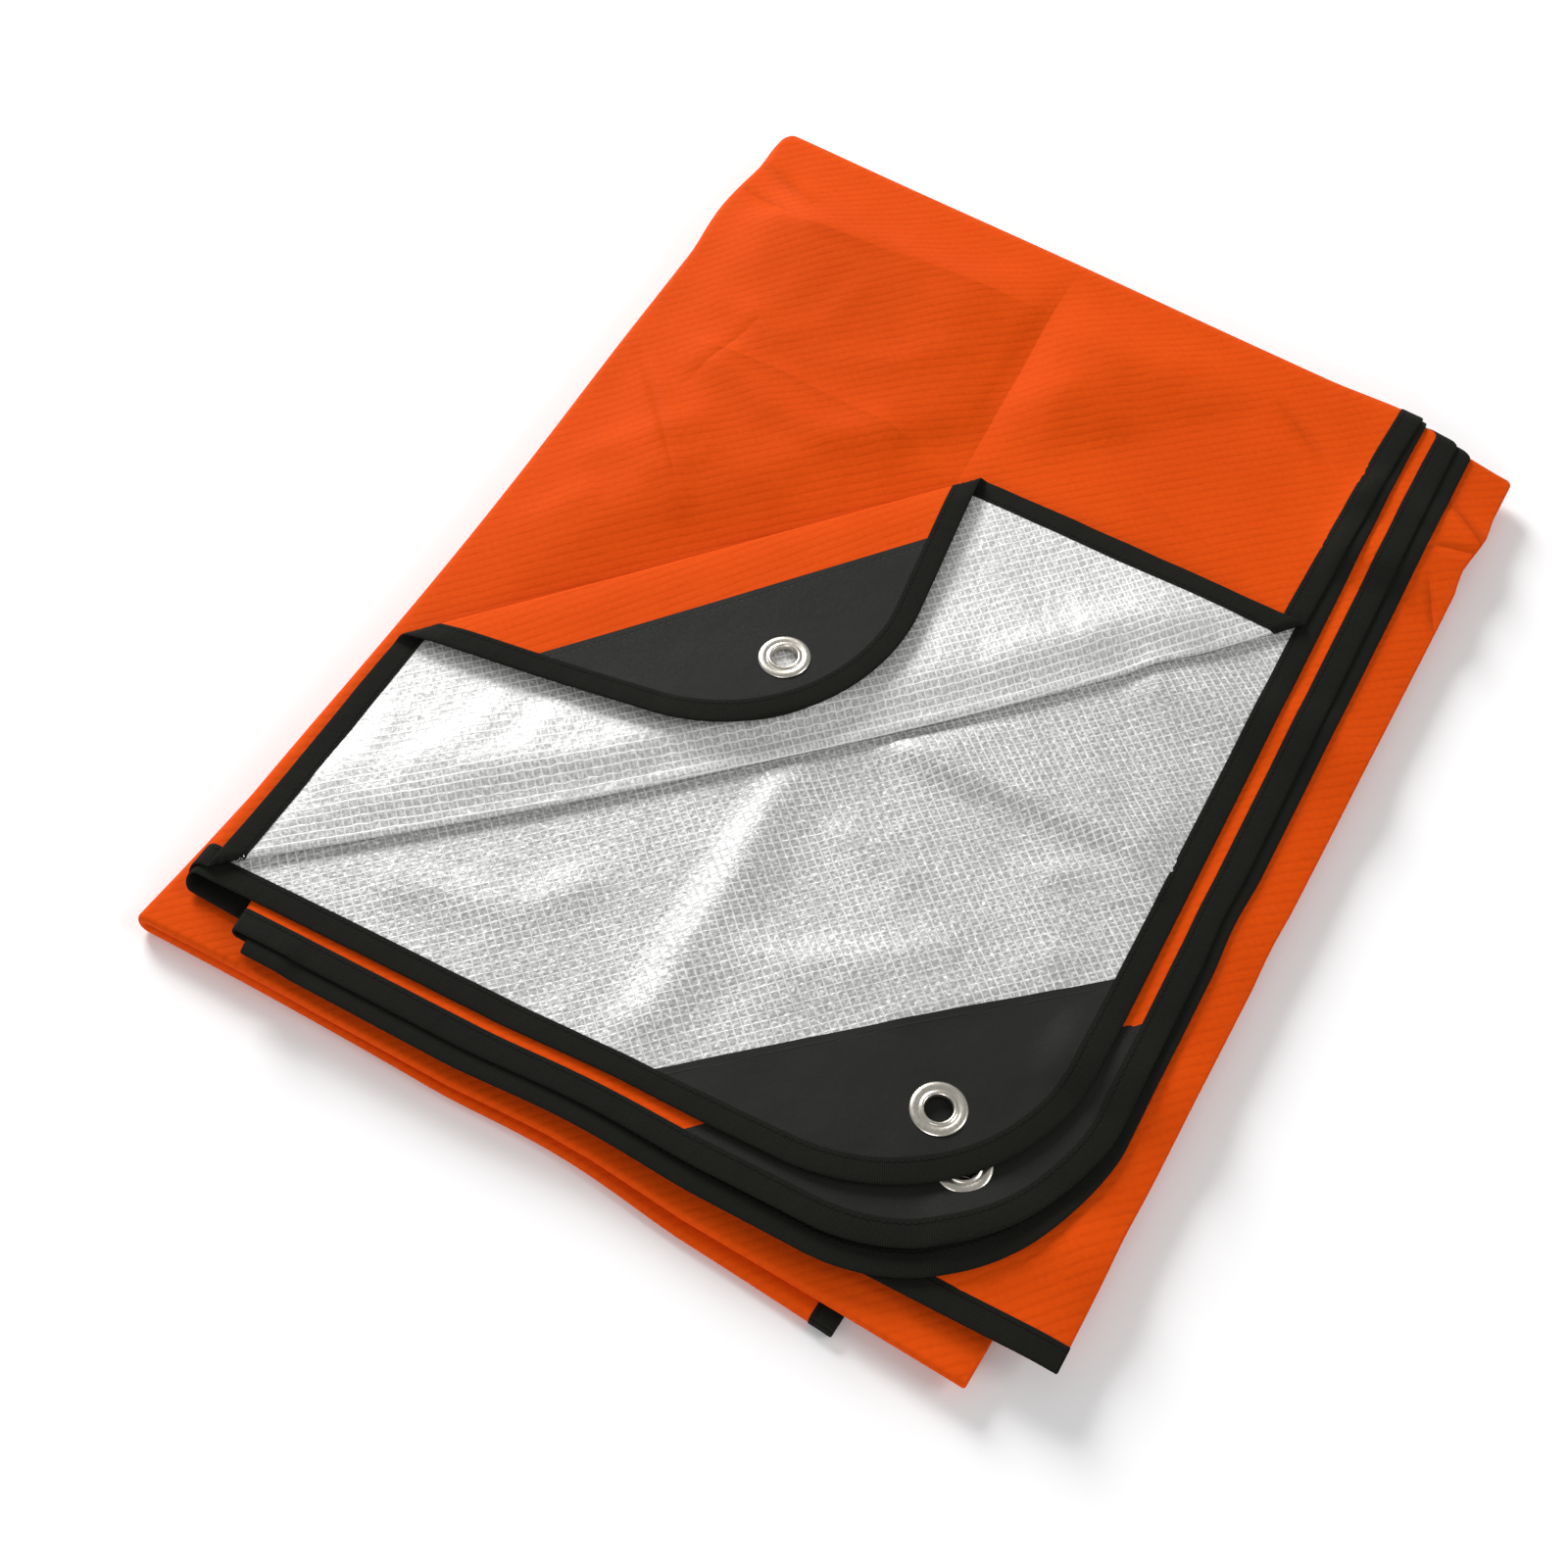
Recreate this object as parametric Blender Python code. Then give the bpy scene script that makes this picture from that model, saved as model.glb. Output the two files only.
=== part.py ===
"""Emergency foil blanket: one bound sheet with four cornered eyelets, folded into a sixteen-layer packet.

Every cloth piece is cut flat, in millimetres, with the silver face up, and then laid through the same folds.
"""

import bmesh
import bpy
import numpy as np
from math import cos, pi, radians, sin

# The flat blanket
WIDTH = 1524.0
LENGTH = 2083.0
CORNER_RADIUS = 92.0
BAND = 11.0
SEAM = 0.3
PATCH_ACROSS = 163.0
PATCH_ALONG = 143.0
EYELET_INSET = 47.3
CLOTH = 1.0
PAD = 1.2
FOLD_GAP = 0.4

# The four folds, in order: direction of the side that moves, where the line is, and whether it goes up or under
FOLDS = (
    {"moves": (-1.0, 0.0), "line": 762.0, "turn": 1},
    {"moves": (0.0, 1.0), "line": 1041.5, "turn": -1},
    {"moves": (-1.0, 0.0), "line": 1166.0, "turn": -1},
    {"moves": (0.0, 1.0), "line": 500.0, "turn": -1},
)

# Where each layer's edges end up, in the packet's own frame: x at the left and right edges (far end, near end),
# y at the near edge (left end, right end), how far its corner is held up by the eyelets under it, and the power
# that curves its near edge
LAYERS = {
    "top_1": {"left": (2.8, -2.0), "right": (356.0, 340.5), "near": (-8.0, -16.0), "lift": 0.0, "curve": 1.0},
    "top_2": {"left": (2.8, -2.0), "right": (359.0, 358.5), "near": (-12.0, -8.0), "lift": 4.5, "curve": 1.0},
    "top_3": {"left": (8.8, 28.6), "right": (376.7, 375.5), "near": (-26.0, -25.5), "lift": 3.3, "curve": 1.0},
    "top_4": {"left": (10.8, 36.0), "right": (384.5, 379.0), "near": (-33.0, -35.5), "lift": 1.2, "curve": 1.0},
    "mid_5": {"left": (10.8, 36.0), "right": (405.0, 391.0), "near": (-32.0, -30.5), "lift": 0.0, "curve": 1.0},
    "mid_6": {"left": (8.8, 28.6), "right": (405.0, 391.0), "near": (-27.0, -30.0), "lift": 0.0, "curve": 1.0},
    "mid_7": {"left": (2.8, -2.0), "right": (403.0, 389.0), "near": (-18.0, -29.0), "lift": 0.0, "curve": 1.0},
    "mid_8": {"left": (2.8, -2.0), "right": (403.0, 389.0), "near": (-15.0, -29.0), "lift": 0.0, "curve": 1.0},
    "low_a": {"left": (0.8, -13.0), "right": (398.0, 364.0), "near": (-34.0, -46.5), "lift": 0.0, "curve": 2.0},
    "low_b": {"left": (0.8, -13.0), "right": (356.0, 313.0), "near": (-35.0, -51.0), "lift": 0.0, "curve": 2.0},
}
# Which layer each panel of the flat sheet becomes: rows from the near edge, columns from the left edge
PANELS = (
    ("top_1", "mid_8", "mid_7", "top_2"),
    ("low_b", "low_a", "low_a", "low_b"),
    ("low_b", "low_a", "low_a", "low_b"),
    ("top_4", "mid_5", "mid_6", "top_3"),
)
FAR_LINE = 475.0
SKEW_FROM = 120.0
SKEW_LEFT = 13.3
SKEW_SLOPE = -0.0975
FAR_BOW = 0.5
WAIST = {"in": 2.2, "y": 190.0, "half": 150.0, "reach": 120.0}
LIFT_CENTRE = (322.0, 22.0)
LIFT_REACH = 175.0

# The top layer's corner, turned back along a diagonal, and its tip, turned over again
TURNS = (
    {"name": "corner", "from": (8.0, -2.0), "to": (349.0, 318.0), "gap": 1.6, "stations": 8},
    {"name": "tip", "from": (195.0, 327.0), "to": (5.2, 120.2), "gap": 3.0, "stations": 8},
)
BOW = 9.0
BOW_REACH = 85.0
BOW_ALONG = (0.0, 0.08, 0.2, 0.35, 0.5, 0.65, 0.8, 0.92, 1.0)
BOW_ACROSS = (14.0, 34.0, 58.0, 85.0)

FOLD_SEGMENTS = (6, 6, 7, 9)
CORNER_CUTS = (45.0, 90.0, 135.0, 180.0, 225.0)
CORNER_SEGMENTS = 10
LATHE_SEGMENTS = 28
HOLE_SEGMENTS = 20
HOLE_RADIUS = 7.1

COLOURS = {
    "orange_foil": {"colour": (0.86, 0.13, 0.03), "roughness": 0.5, "metallic": 0.0},
    "binding": {"colour": (0.03, 0.03, 0.028), "roughness": 0.8, "metallic": 0.0},
    "patch": {"colour": (0.025, 0.025, 0.025), "roughness": 0.85, "metallic": 0.0},
    "eyelet": {"colour": (0.75, 0.73, 0.68), "roughness": 0.28, "metallic": 1.0},
}


def stack_before_each_fold():
    """The bottom and top of the stack, and the length of cloth the fold takes, before each of the four folds."""
    low = -CLOTH / 2
    high = CLOTH / 2
    steps = []
    for fold in FOLDS:
        thickness = high - low
        steps.append({"low": low, "high": high, "arc": pi * (FOLD_GAP + thickness) / 2})
        if fold["turn"] > 0:
            high += FOLD_GAP + thickness
        else:
            low -= FOLD_GAP + thickness
    return steps, low, high


STACK, STACK_LOW, STACK_HIGH = stack_before_each_fold()
HALF, ACROSS, QUARTER, FAR = [fold["line"] for fold in FOLDS]
ARC_HALF, ARC_ACROSS, ARC_QUARTER, ARC_FAR = [step["arc"] for step in STACK]

# The three stretches of cloth that the folds take, across the sheet and along it
ACROSS_ARCS = (
    (2 * HALF - ARC_HALF - QUARTER, ARC_QUARTER, FOLD_SEGMENTS[2]),
    (HALF - ARC_HALF, ARC_HALF, FOLD_SEGMENTS[0]),
    (QUARTER - ARC_QUARTER, ARC_QUARTER, FOLD_SEGMENTS[2]),
)
ALONG_ARCS = (
    (FAR, ARC_FAR, FOLD_SEGMENTS[3]),
    (ACROSS, ARC_ACROSS, FOLD_SEGMENTS[1]),
    (2 * ACROSS + ARC_ACROSS - FAR - ARC_FAR, ARC_FAR, FOLD_SEGMENTS[3]),
)
# Each panel's free or folded edges straight after the four folds, before the layers are drawn to their places
RIGHT_EDGES = (2 * HALF - ARC_HALF, 2 * QUARTER - HALF - ARC_QUARTER, 2 * QUARTER - HALF - ARC_QUARTER, WIDTH)
NEAR_EDGES = (0.0, 2 * FAR - ACROSS + ARC_FAR, 2 * FAR - ACROSS + ARC_FAR, 2 * ACROSS + ARC_ACROSS - LENGTH)


def smooth(t):
    t = np.clip(t, 0.0, 1.0)
    return t * t * (3 - 2 * t)


def bend(points, moving, direction, line, turn, low, high, gap):
    """Folds the moving points that lie past a straight line up (turn 1) or under (turn -1), round a small roll."""
    direction = np.array(direction)
    past = points[:, :2] @ direction - line
    face = high if turn > 0 else low
    radius = gap / 2 + turn * (face - points[:, 2])
    arc = pi * (gap + high - low) / 2
    angle = pi * np.clip(past / arc, 0.0, 1.0)
    reach = radius * np.sin(angle) - np.maximum(past - arc, 0.0)
    moved = moving & (past > 0)
    points[:, :2] += np.where(moved, reach - past, 0.0)[:, None] * direction
    points[:, 2] = np.where(moved, face + turn * (gap / 2 - radius * np.cos(angle)), points[:, 2])


def panel_index(distance, arcs):
    """0 to 3: which panel a distance across or along the sheet is in, passing smoothly from one to the next."""
    return sum(smooth((distance - start) / length) for start, length, _ in arcs)


def blended(table, along, across):
    """A 4 by 4 table of panel values, read between its rows and columns."""
    table = np.array(table)
    row = np.minimum(along.astype(int), 2)
    column = np.minimum(across.astype(int), 2)
    up = along - row
    over = across - column
    near = table[row, column] * (1 - over) + table[row, column + 1] * over
    far = table[row + 1, column] * (1 - over) + table[row + 1, column + 1] * over
    return near * (1 - up) + far * up


def panel_values(key, end=None):
    rows = []
    for names in PANELS:
        values = [LAYERS[name][key] for name in names]
        rows.append([value if end is None else value[end] for value in values])
    return rows


def lay(flat):
    """Takes points of the flat sheet through the four folds and draws each layer to its place in the packet."""
    across = panel_index(flat[:, 0], ACROSS_ARCS)
    along = panel_index(flat[:, 1], ALONG_ARCS)
    points = flat.copy()
    everything = np.ones(len(points), bool)
    for fold, step in zip(FOLDS, STACK):
        line = fold["line"] * sum(fold["moves"])
        bend(points, everything, fold["moves"], line, fold["turn"], step["low"], step["high"], FOLD_GAP)

    right_edge = blended([RIGHT_EDGES] * 4, along, across)
    near_edge = blended(np.transpose([NEAR_EDGES] * 4), along, across)
    over = np.clip((points[:, 0] - QUARTER) / (right_edge - QUARTER), 0.0, 1.0)
    back = np.clip((FAR - points[:, 1]) / (FAR - near_edge), 0.0, 1.0)
    outside_x = points[:, 0] - QUARTER - over * (right_edge - QUARTER)
    outside_y = points[:, 1] - FAR + back * (FAR - near_edge)

    def edge(key, first, second, share):
        start = blended(panel_values(key, first), along, across)
        end = blended(panel_values(key, second), along, across)
        return start + share * (end - start)

    left = edge("left", 0, 1, back**4)
    right = edge("right", 0, 1, back)
    near = edge("near", 0, 1, over ** blended(panel_values("curve"), along, across))
    x = left + over * (right - left) + outside_x
    y = FAR_LINE + back * (near - FAR_LINE) + outside_y
    far_edge = SKEW_LEFT + SKEW_SLOPE * x + FAR_BOW * (1 - (x / 200.0 - 1) ** 2)
    y += np.clip((y - SKEW_FROM) / (FAR_LINE - SKEW_FROM), 0.0, 1.0) * far_edge
    waist = 1 - np.clip(abs(y - WAIST["y"]) / WAIST["half"], 0.0, 1.0) ** 2
    x += WAIST["in"] * waist**2 * (1 - smooth(x / WAIST["reach"]))
    distance = np.hypot(x - LIFT_CENTRE[0], y - LIFT_CENTRE[1]) / LIFT_REACH
    lift = blended(panel_values("lift"), along, across) * np.maximum(1 - distance**2, 0.0) ** 2
    return np.column_stack([x, y, points[:, 2] + lift])


def turn_frame(turn, low):
    """The direction that a turned corner moves in, its line, and the bottom and top of the layer that turns."""
    start = np.array(turn["from"])
    run = np.array(turn["to"]) - start
    run /= np.linalg.norm(run)
    direction = np.array([run[1], -run[0]])
    line = start @ direction - turn["gap"] / 2 - CLOTH
    return {"moves": direction, "run": run, "line": line, "low": low, "high": low + CLOTH, "gap": turn["gap"]}


TOP_LOW = STACK_HIGH - CLOTH
CORNER = turn_frame(TURNS[0], TOP_LOW)
TIP = turn_frame(TURNS[1], TOP_LOW + CLOTH + TURNS[0]["gap"])


def in_top_panel(flat):
    return (flat[:, 0] <= ACROSS_ARCS[0][0] + 0.01) & (flat[:, 1] <= ALONG_ARCS[0][0] + 0.01)


def turn_over(points, moving, frame):
    bend(points, moving, frame["moves"], frame["line"], 1, frame["low"], frame["high"], frame["gap"])


def bow_out(points, moving):
    """Bows the diagonal fold outwards a little, with the cloth on both sides of it."""
    start = np.array(TURNS[0]["from"])
    length = np.linalg.norm(np.array(TURNS[0]["to"]) - start)
    along = (points[:, :2] - start) @ CORNER["run"] / length
    behind = (start - points[:, :2]) @ CORNER["moves"]
    amount = BOW * np.maximum(1 - (2 * along - 1) ** 2, 0.0) * (1 - smooth(behind / BOW_REACH))
    points[:, :2] += np.where(moving, amount, 0.0)[:, None] * CORNER["moves"]


def settle(flat):
    """The whole way from the flat sheet to the packet, for points that need no more cutting."""
    points = lay(flat)
    top = in_top_panel(flat)
    turn_over(points, top, CORNER)
    turned = top & (points[:, 2] > TIP["low"] - 0.2)
    turn_over(points, turned, TIP)
    bow_out(points, top & (points[:, 2] < TIP["high"] + 0.4))
    return points


def cut(mesh, faces, direction, at):
    """Cuts the given faces along a straight upright plane."""
    geometry = set(faces)
    for face in faces:
        geometry.update(face.edges)
        geometry.update(face.verts)
    normal = (direction[0], direction[1], 0.0)
    place = (direction[0] * at, direction[1] * at, 0.0)
    bmesh.ops.bisect_plane(mesh, geom=list(geometry), dist=0.0005, plane_co=place, plane_no=normal)


def read(mesh, layers):
    """The mesh's points and, for each, where it was on the flat sheet."""
    mesh.verts.ensure_lookup_table()
    points = np.array([vert.co for vert in mesh.verts], float)
    flat = np.array([[vert[layer] for layer in layers] for vert in mesh.verts], float)
    return points, flat


def write(mesh, points):
    for vert, point in zip(mesh.verts, points):
        vert.co = point


def top_faces(mesh, layers, reach=None):
    """The faces of the top panel and, if a reach is given, only those that come this near to the diagonal fold."""
    across, along = layers
    found = []
    for face in mesh.faces:
        inside = all(
            vert[across] <= ACROSS_ARCS[0][0] + 0.01 and vert[along] <= ALONG_ARCS[0][0] + 0.01
            for vert in face.verts
        )
        if not inside:
            continue
        x, y = CORNER["moves"]
        nearest = min(CORNER["line"] - x * vert.co.x - y * vert.co.y for vert in face.verts)
        if reach is None or nearest < reach:
            found.append(face)
    return found


def fold_up(mesh, thickness):
    """Cuts a flat mesh at the fold lines, gives it its thickness and takes it through every fold."""
    for axis, arcs, length in ((0, ACROSS_ARCS, WIDTH), (1, ALONG_ARCS, LENGTH)):
        direction = (1.0 - axis, float(axis))
        places = list(CORNER_CUTS) + [length - inset for inset in CORNER_CUTS]
        for start, arc, segments in arcs:
            places += [start + arc * step / segments for step in range(segments + 1)]
        for place in places:
            cut(mesh, mesh.faces[:], direction, place)
    bmesh.ops.triangulate(mesh, faces=mesh.faces[:])
    bmesh.ops.recalc_face_normals(mesh, faces=mesh.faces[:])
    if mesh.faces[:][0].normal.z > 0:
        bmesh.ops.reverse_faces(mesh, faces=mesh.faces[:])
    for vert in mesh.verts:
        vert.co.z = -thickness / 2
    raised = bmesh.ops.extrude_face_region(mesh, geom=mesh.faces[:], use_keep_orig=True)
    for item in raised["geom"]:
        if isinstance(item, bmesh.types.BMVert):
            item.co.z = thickness / 2
    bmesh.ops.recalc_face_normals(mesh, faces=mesh.faces[:])

    layers = (mesh.verts.layers.float.new("across"), mesh.verts.layers.float.new("along"))
    for vert in mesh.verts:
        vert[layers[0]] = vert.co.x
        vert[layers[1]] = vert.co.y
    points = np.array([vert.co for vert in mesh.verts], float)
    write(mesh, lay(points))

    # The corner of the top layer is cut along its two diagonal folds as it is turned
    arc = pi * (CORNER["gap"] + CLOTH) / 2
    stations = TURNS[0]["stations"]
    for step in range(stations + 1):
        cut(mesh, top_faces(mesh, layers), CORNER["moves"], CORNER["line"] + arc * step / stations)
    points, flat = read(mesh, layers)
    turn_over(points, in_top_panel(flat), CORNER)
    write(mesh, points)

    run = CORNER["run"]
    start = np.array(TURNS[0]["from"]) @ run
    length = np.linalg.norm(np.array(TURNS[0]["to"]) - np.array(TURNS[0]["from"]))
    for behind in BOW_ACROSS:
        cut(mesh, top_faces(mesh, layers, BOW_REACH), CORNER["moves"], CORNER["line"] - behind)
    for share in BOW_ALONG:
        cut(mesh, top_faces(mesh, layers, BOW_REACH - 1), run, start + share * length)

    arc = pi * (TIP["gap"] + CLOTH) / 2
    stations = TURNS[1]["stations"]
    for step in range(stations + 1):
        turned = [face for face in top_faces(mesh, layers) if min(v.co.z for v in face.verts) > TIP["low"] - 0.2]
        cut(mesh, turned, TIP["moves"], TIP["line"] + arc * step / stations)
    points, flat = read(mesh, layers)
    top = in_top_panel(flat)
    turn_over(points, top & (points[:, 2] > TIP["low"] - 0.2), TIP)
    bow_out(points, top & (points[:, 2] < TIP["high"] + 0.4))
    write(mesh, points)


def corner_points(inset, radius):
    """The rounded outline of the flat blanket, drawn in from its edge: near left corner first, anticlockwise."""
    outline = []
    corners = (
        {"x": 0.0, "y": 0.0, "sx": 1, "sy": 1, "start": 180},
        {"x": WIDTH, "y": 0.0, "sx": -1, "sy": 1, "start": 270},
        {"x": WIDTH, "y": LENGTH, "sx": -1, "sy": -1, "start": 0},
        {"x": 0.0, "y": LENGTH, "sx": 1, "sy": -1, "start": 90},
    )
    for corner in corners:
        centre_x = corner["x"] + corner["sx"] * radius
        centre_y = corner["y"] + corner["sy"] * radius
        for step in range(CORNER_SEGMENTS + 1):
            angle = radians(corner["start"] + 90 * step / CORNER_SEGMENTS)
            outline.append((centre_x + (radius - inset) * cos(angle), centre_y + (radius - inset) * sin(angle)))
    return outline


def loop_edges(mesh, outline):
    verts = [mesh.verts.new((x, y, 0.0)) for x, y in outline]
    return [mesh.edges.new((vert, verts[index - 1])) for index, vert in enumerate(verts)]


def patch_reach(clear):
    """How far a corner's slanting side, moved out by a clearance, reaches across and along inside the binding."""
    inset = BAND + SEAM
    grown = 1 + clear * np.hypot(1 / PATCH_ACROSS, 1 / PATCH_ALONG)
    return PATCH_ACROSS * (grown - inset / PATCH_ALONG), PATCH_ALONG * (grown - inset / PATCH_ACROSS)


def flat_sheet():
    mesh = bmesh.new()
    inset = BAND + SEAM
    across, along = patch_reach(SEAM)
    outline = (
        (across, inset),
        (WIDTH - across, inset),
        (WIDTH - inset, along),
        (WIDTH - inset, LENGTH - along),
        (WIDTH - across, LENGTH - inset),
        (across, LENGTH - inset),
        (inset, LENGTH - along),
        (inset, along),
    )
    mesh.faces.new([mesh.verts.new((x, y, 0.0)) for x, y in outline])
    return mesh


def flat_binding():
    mesh = bmesh.new()
    edges = loop_edges(mesh, corner_points(0.0, CORNER_RADIUS))
    edges += loop_edges(mesh, corner_points(BAND, CORNER_RADIUS))
    bmesh.ops.bridge_loops(mesh, edges=edges)
    return mesh


def flat_patch(x, y, sx, sy):
    """One corner pad: two straight edges, the rounded corner between them, and a hole for the eyelet."""
    inset = BAND + SEAM
    across, along = patch_reach(0.0)
    radius = CORNER_RADIUS - inset
    outline = [(across, inset), (inset, along)]
    for step in range(CORNER_SEGMENTS + 1):
        angle = radians(180 + 90 * step / CORNER_SEGMENTS)
        outline.append((CORNER_RADIUS + radius * cos(angle), CORNER_RADIUS + radius * sin(angle)))
    hole = []
    for step in range(HOLE_SEGMENTS):
        angle = 2 * pi * step / HOLE_SEGMENTS
        hole.append((EYELET_INSET + HOLE_RADIUS * cos(angle), EYELET_INSET + HOLE_RADIUS * sin(angle)))
    mesh = bmesh.new()
    edges = loop_edges(mesh, [(x + sx * px, y + sy * py) for px, py in outline])
    edges += loop_edges(mesh, [(x + sx * px, y + sy * py) for px, py in hole])
    bmesh.ops.triangle_fill(mesh, edges=edges, use_beauty=True)
    return mesh


def eyelet(x, y):
    """A pressed metal ring with a flange on each face, set on the folded cloth at its own corner."""
    profile = (
        (5.6, 0.7),
        (5.9, 1.25),
        (6.8, 1.5),
        (9.4, 1.5),
        (11.3, 1.1),
        (11.3, 0.9),
        (6.3, 0.9),
        (6.3, -0.9),
        (11.3, -0.9),
        (11.3, -1.1),
        (9.4, -1.5),
        (6.8, -1.5),
        (5.9, -1.25),
        (5.6, -0.7),
    )
    mesh = bmesh.new()
    verts = [mesh.verts.new((radius, 0.0, height)) for radius, height in profile]
    edges = [mesh.edges.new((vert, verts[index - 1])) for index, vert in enumerate(verts)]
    bmesh.ops.spin(
        mesh,
        geom=verts + edges,
        cent=(0, 0, 0),
        axis=(0, 0, 1),
        angle=2 * pi,
        steps=LATHE_SEGMENTS,
        use_merge=True,
    )
    bmesh.ops.recalc_face_normals(mesh, faces=mesh.faces[:])
    middle, right, up = settle(np.array([[x, y, 0.0], [x + 3.0, y, 0.0], [x, y + 3.0, 0.0]]))
    right = (right - middle) / np.linalg.norm(right - middle)
    up = up - middle
    normal = np.cross(right, up)
    normal /= np.linalg.norm(normal)
    frame = np.column_stack([right, np.cross(normal, right), normal])
    points, _ = read(mesh, ())
    write(mesh, points @ frame.T + middle)
    return mesh


def shade(name, look):
    material = bpy.data.materials.new(name)
    material.use_nodes = True
    shader = material.node_tree.nodes["Principled BSDF"]
    shader.inputs["Base Color"].default_value = (*look["colour"], 1.0)
    shader.inputs["Roughness"].default_value = look["roughness"]
    shader.inputs["Metallic"].default_value = look["metallic"]
    return material


for existing in list(bpy.data.objects):
    bpy.data.objects.remove(existing, do_unlink=True)

meshes = {"blanket": (flat_sheet(), "orange_foil"), "binding": (flat_binding(), "binding")}
fold_up(meshes["blanket"][0], CLOTH)
fold_up(meshes["binding"][0], CLOTH)
CORNERS = (
    {"x": 0.0, "y": 0.0, "sx": 1, "sy": 1},
    {"x": WIDTH, "y": 0.0, "sx": -1, "sy": 1},
    {"x": WIDTH, "y": LENGTH, "sx": -1, "sy": -1},
    {"x": 0.0, "y": LENGTH, "sx": 1, "sy": -1},
)
for number, corner in enumerate(CORNERS, 1):
    patch = flat_patch(**corner)
    fold_up(patch, PAD)
    meshes[f"corner_patch_{number}"] = (patch, "patch")
    centre_x = corner["x"] + corner["sx"] * EYELET_INSET
    centre_y = corner["y"] + corner["sy"] * EYELET_INSET
    meshes[f"eyelet_{number}"] = (eyelet(centre_x, centre_y), "eyelet")

# The packet stands on the ground, with its middle over the origin
bodies = np.concatenate([[vert.co for vert in mesh.verts] for mesh, _ in meshes.values()])
low = bodies.min(axis=0)
high = bodies.max(axis=0)
centre = np.array([(low[0] + high[0]) / 2, (low[1] + high[1]) / 2, low[2]])

collection = bpy.data.collections.new("emergency_foil_blanket")
bpy.context.scene.collection.children.link(collection)
shades = {name: shade(name, look) for name, look in COLOURS.items()}
for name, (mesh, look) in meshes.items():
    points, _ = read(mesh, ())
    write(mesh, (points - centre) / 1000)
    bmesh.ops.triangulate(mesh, faces=mesh.faces[:])
    bmesh.ops.recalc_face_normals(mesh, faces=mesh.faces[:])
    data = bpy.data.meshes.new(name)
    mesh.to_mesh(data)
    mesh.free()
    data.materials.append(shades[look])
    piece = bpy.data.objects.new(name, data)
    collection.objects.link(piece)
    if look == "eyelet":
        data.shade_smooth()
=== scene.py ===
from math import cos, pi, radians, sin

import bmesh
import bpy
import numpy as np
from mathutils import Matrix


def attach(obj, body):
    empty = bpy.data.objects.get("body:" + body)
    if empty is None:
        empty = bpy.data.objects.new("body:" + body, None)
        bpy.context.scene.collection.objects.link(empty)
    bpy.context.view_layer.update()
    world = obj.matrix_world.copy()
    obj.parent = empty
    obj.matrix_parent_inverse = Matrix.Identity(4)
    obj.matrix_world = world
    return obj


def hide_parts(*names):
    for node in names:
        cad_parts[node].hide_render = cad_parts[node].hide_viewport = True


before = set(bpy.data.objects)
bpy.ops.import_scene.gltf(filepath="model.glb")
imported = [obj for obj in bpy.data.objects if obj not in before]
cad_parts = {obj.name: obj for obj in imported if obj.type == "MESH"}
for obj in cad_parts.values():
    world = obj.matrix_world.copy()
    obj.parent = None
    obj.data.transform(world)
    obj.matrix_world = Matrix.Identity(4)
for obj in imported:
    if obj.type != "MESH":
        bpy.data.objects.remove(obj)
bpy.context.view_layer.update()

# The cloth panel. Woven orange cloth is laminated over silver scrim foil in one sheet of 60 by 82 inches. It
# is folded in half four times, its top corner is turned back along a diagonal and the tip is turned over.
# Sizes are in millimetres. The folds reckon with CLOTH, and the cloth is drawn twice CLOTH_HALF thick.
MM = 0.001
WIDTH = 1524.0
LENGTH = 2083.0
CLOTH = 1.0
CLOTH_HALF = 0.35
FOLD_GAP = 0.4
FOLDS = (
    {"moves": (-1.0, 0.0), "line": 762.0, "turn": 1},
    {"moves": (0.0, 1.0), "line": 1041.5, "turn": -1},
    {"moves": (-1.0, 0.0), "line": 1166.0, "turn": -1},
    {"moves": (0.0, 1.0), "line": 500.0, "turn": -1},
)
# Where each layer's left, right and near edges lie in the packet's plan, at both ends of each edge
LAYERS = {
    "top_1": {"left": (2.8, -2.0), "right": (356.0, 340.5), "near": (-8.0, -16.0)},
    "top_2": {"left": (2.8, -2.0), "right": (359.0, 358.5), "near": (-12.0, -8.0)},
    "top_3": {"left": (8.8, 28.6), "right": (376.7, 375.5), "near": (-26.0, -25.5)},
    "top_4": {"left": (10.8, 36.0), "right": (384.5, 379.0), "near": (-33.0, -35.5)},
    "mid_5": {"left": (10.8, 36.0), "right": (405.0, 391.0), "near": (-32.0, -30.5)},
    "mid_6": {"left": (8.8, 28.6), "right": (405.0, 391.0), "near": (-27.0, -30.0)},
    "mid_7": {"left": (2.8, -2.0), "right": (403.0, 389.0), "near": (-18.0, -29.0)},
    "mid_8": {"left": (2.8, -2.0), "right": (403.0, 389.0), "near": (-15.0, -29.0)},
    "low_a": {"left": (0.8, -13.0), "right": (398.0, 364.0), "near": (-34.0, -46.5)},
    "low_b": {"left": (0.8, -13.0), "right": (356.0, 313.0), "near": (-35.0, -51.0)},
}
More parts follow.
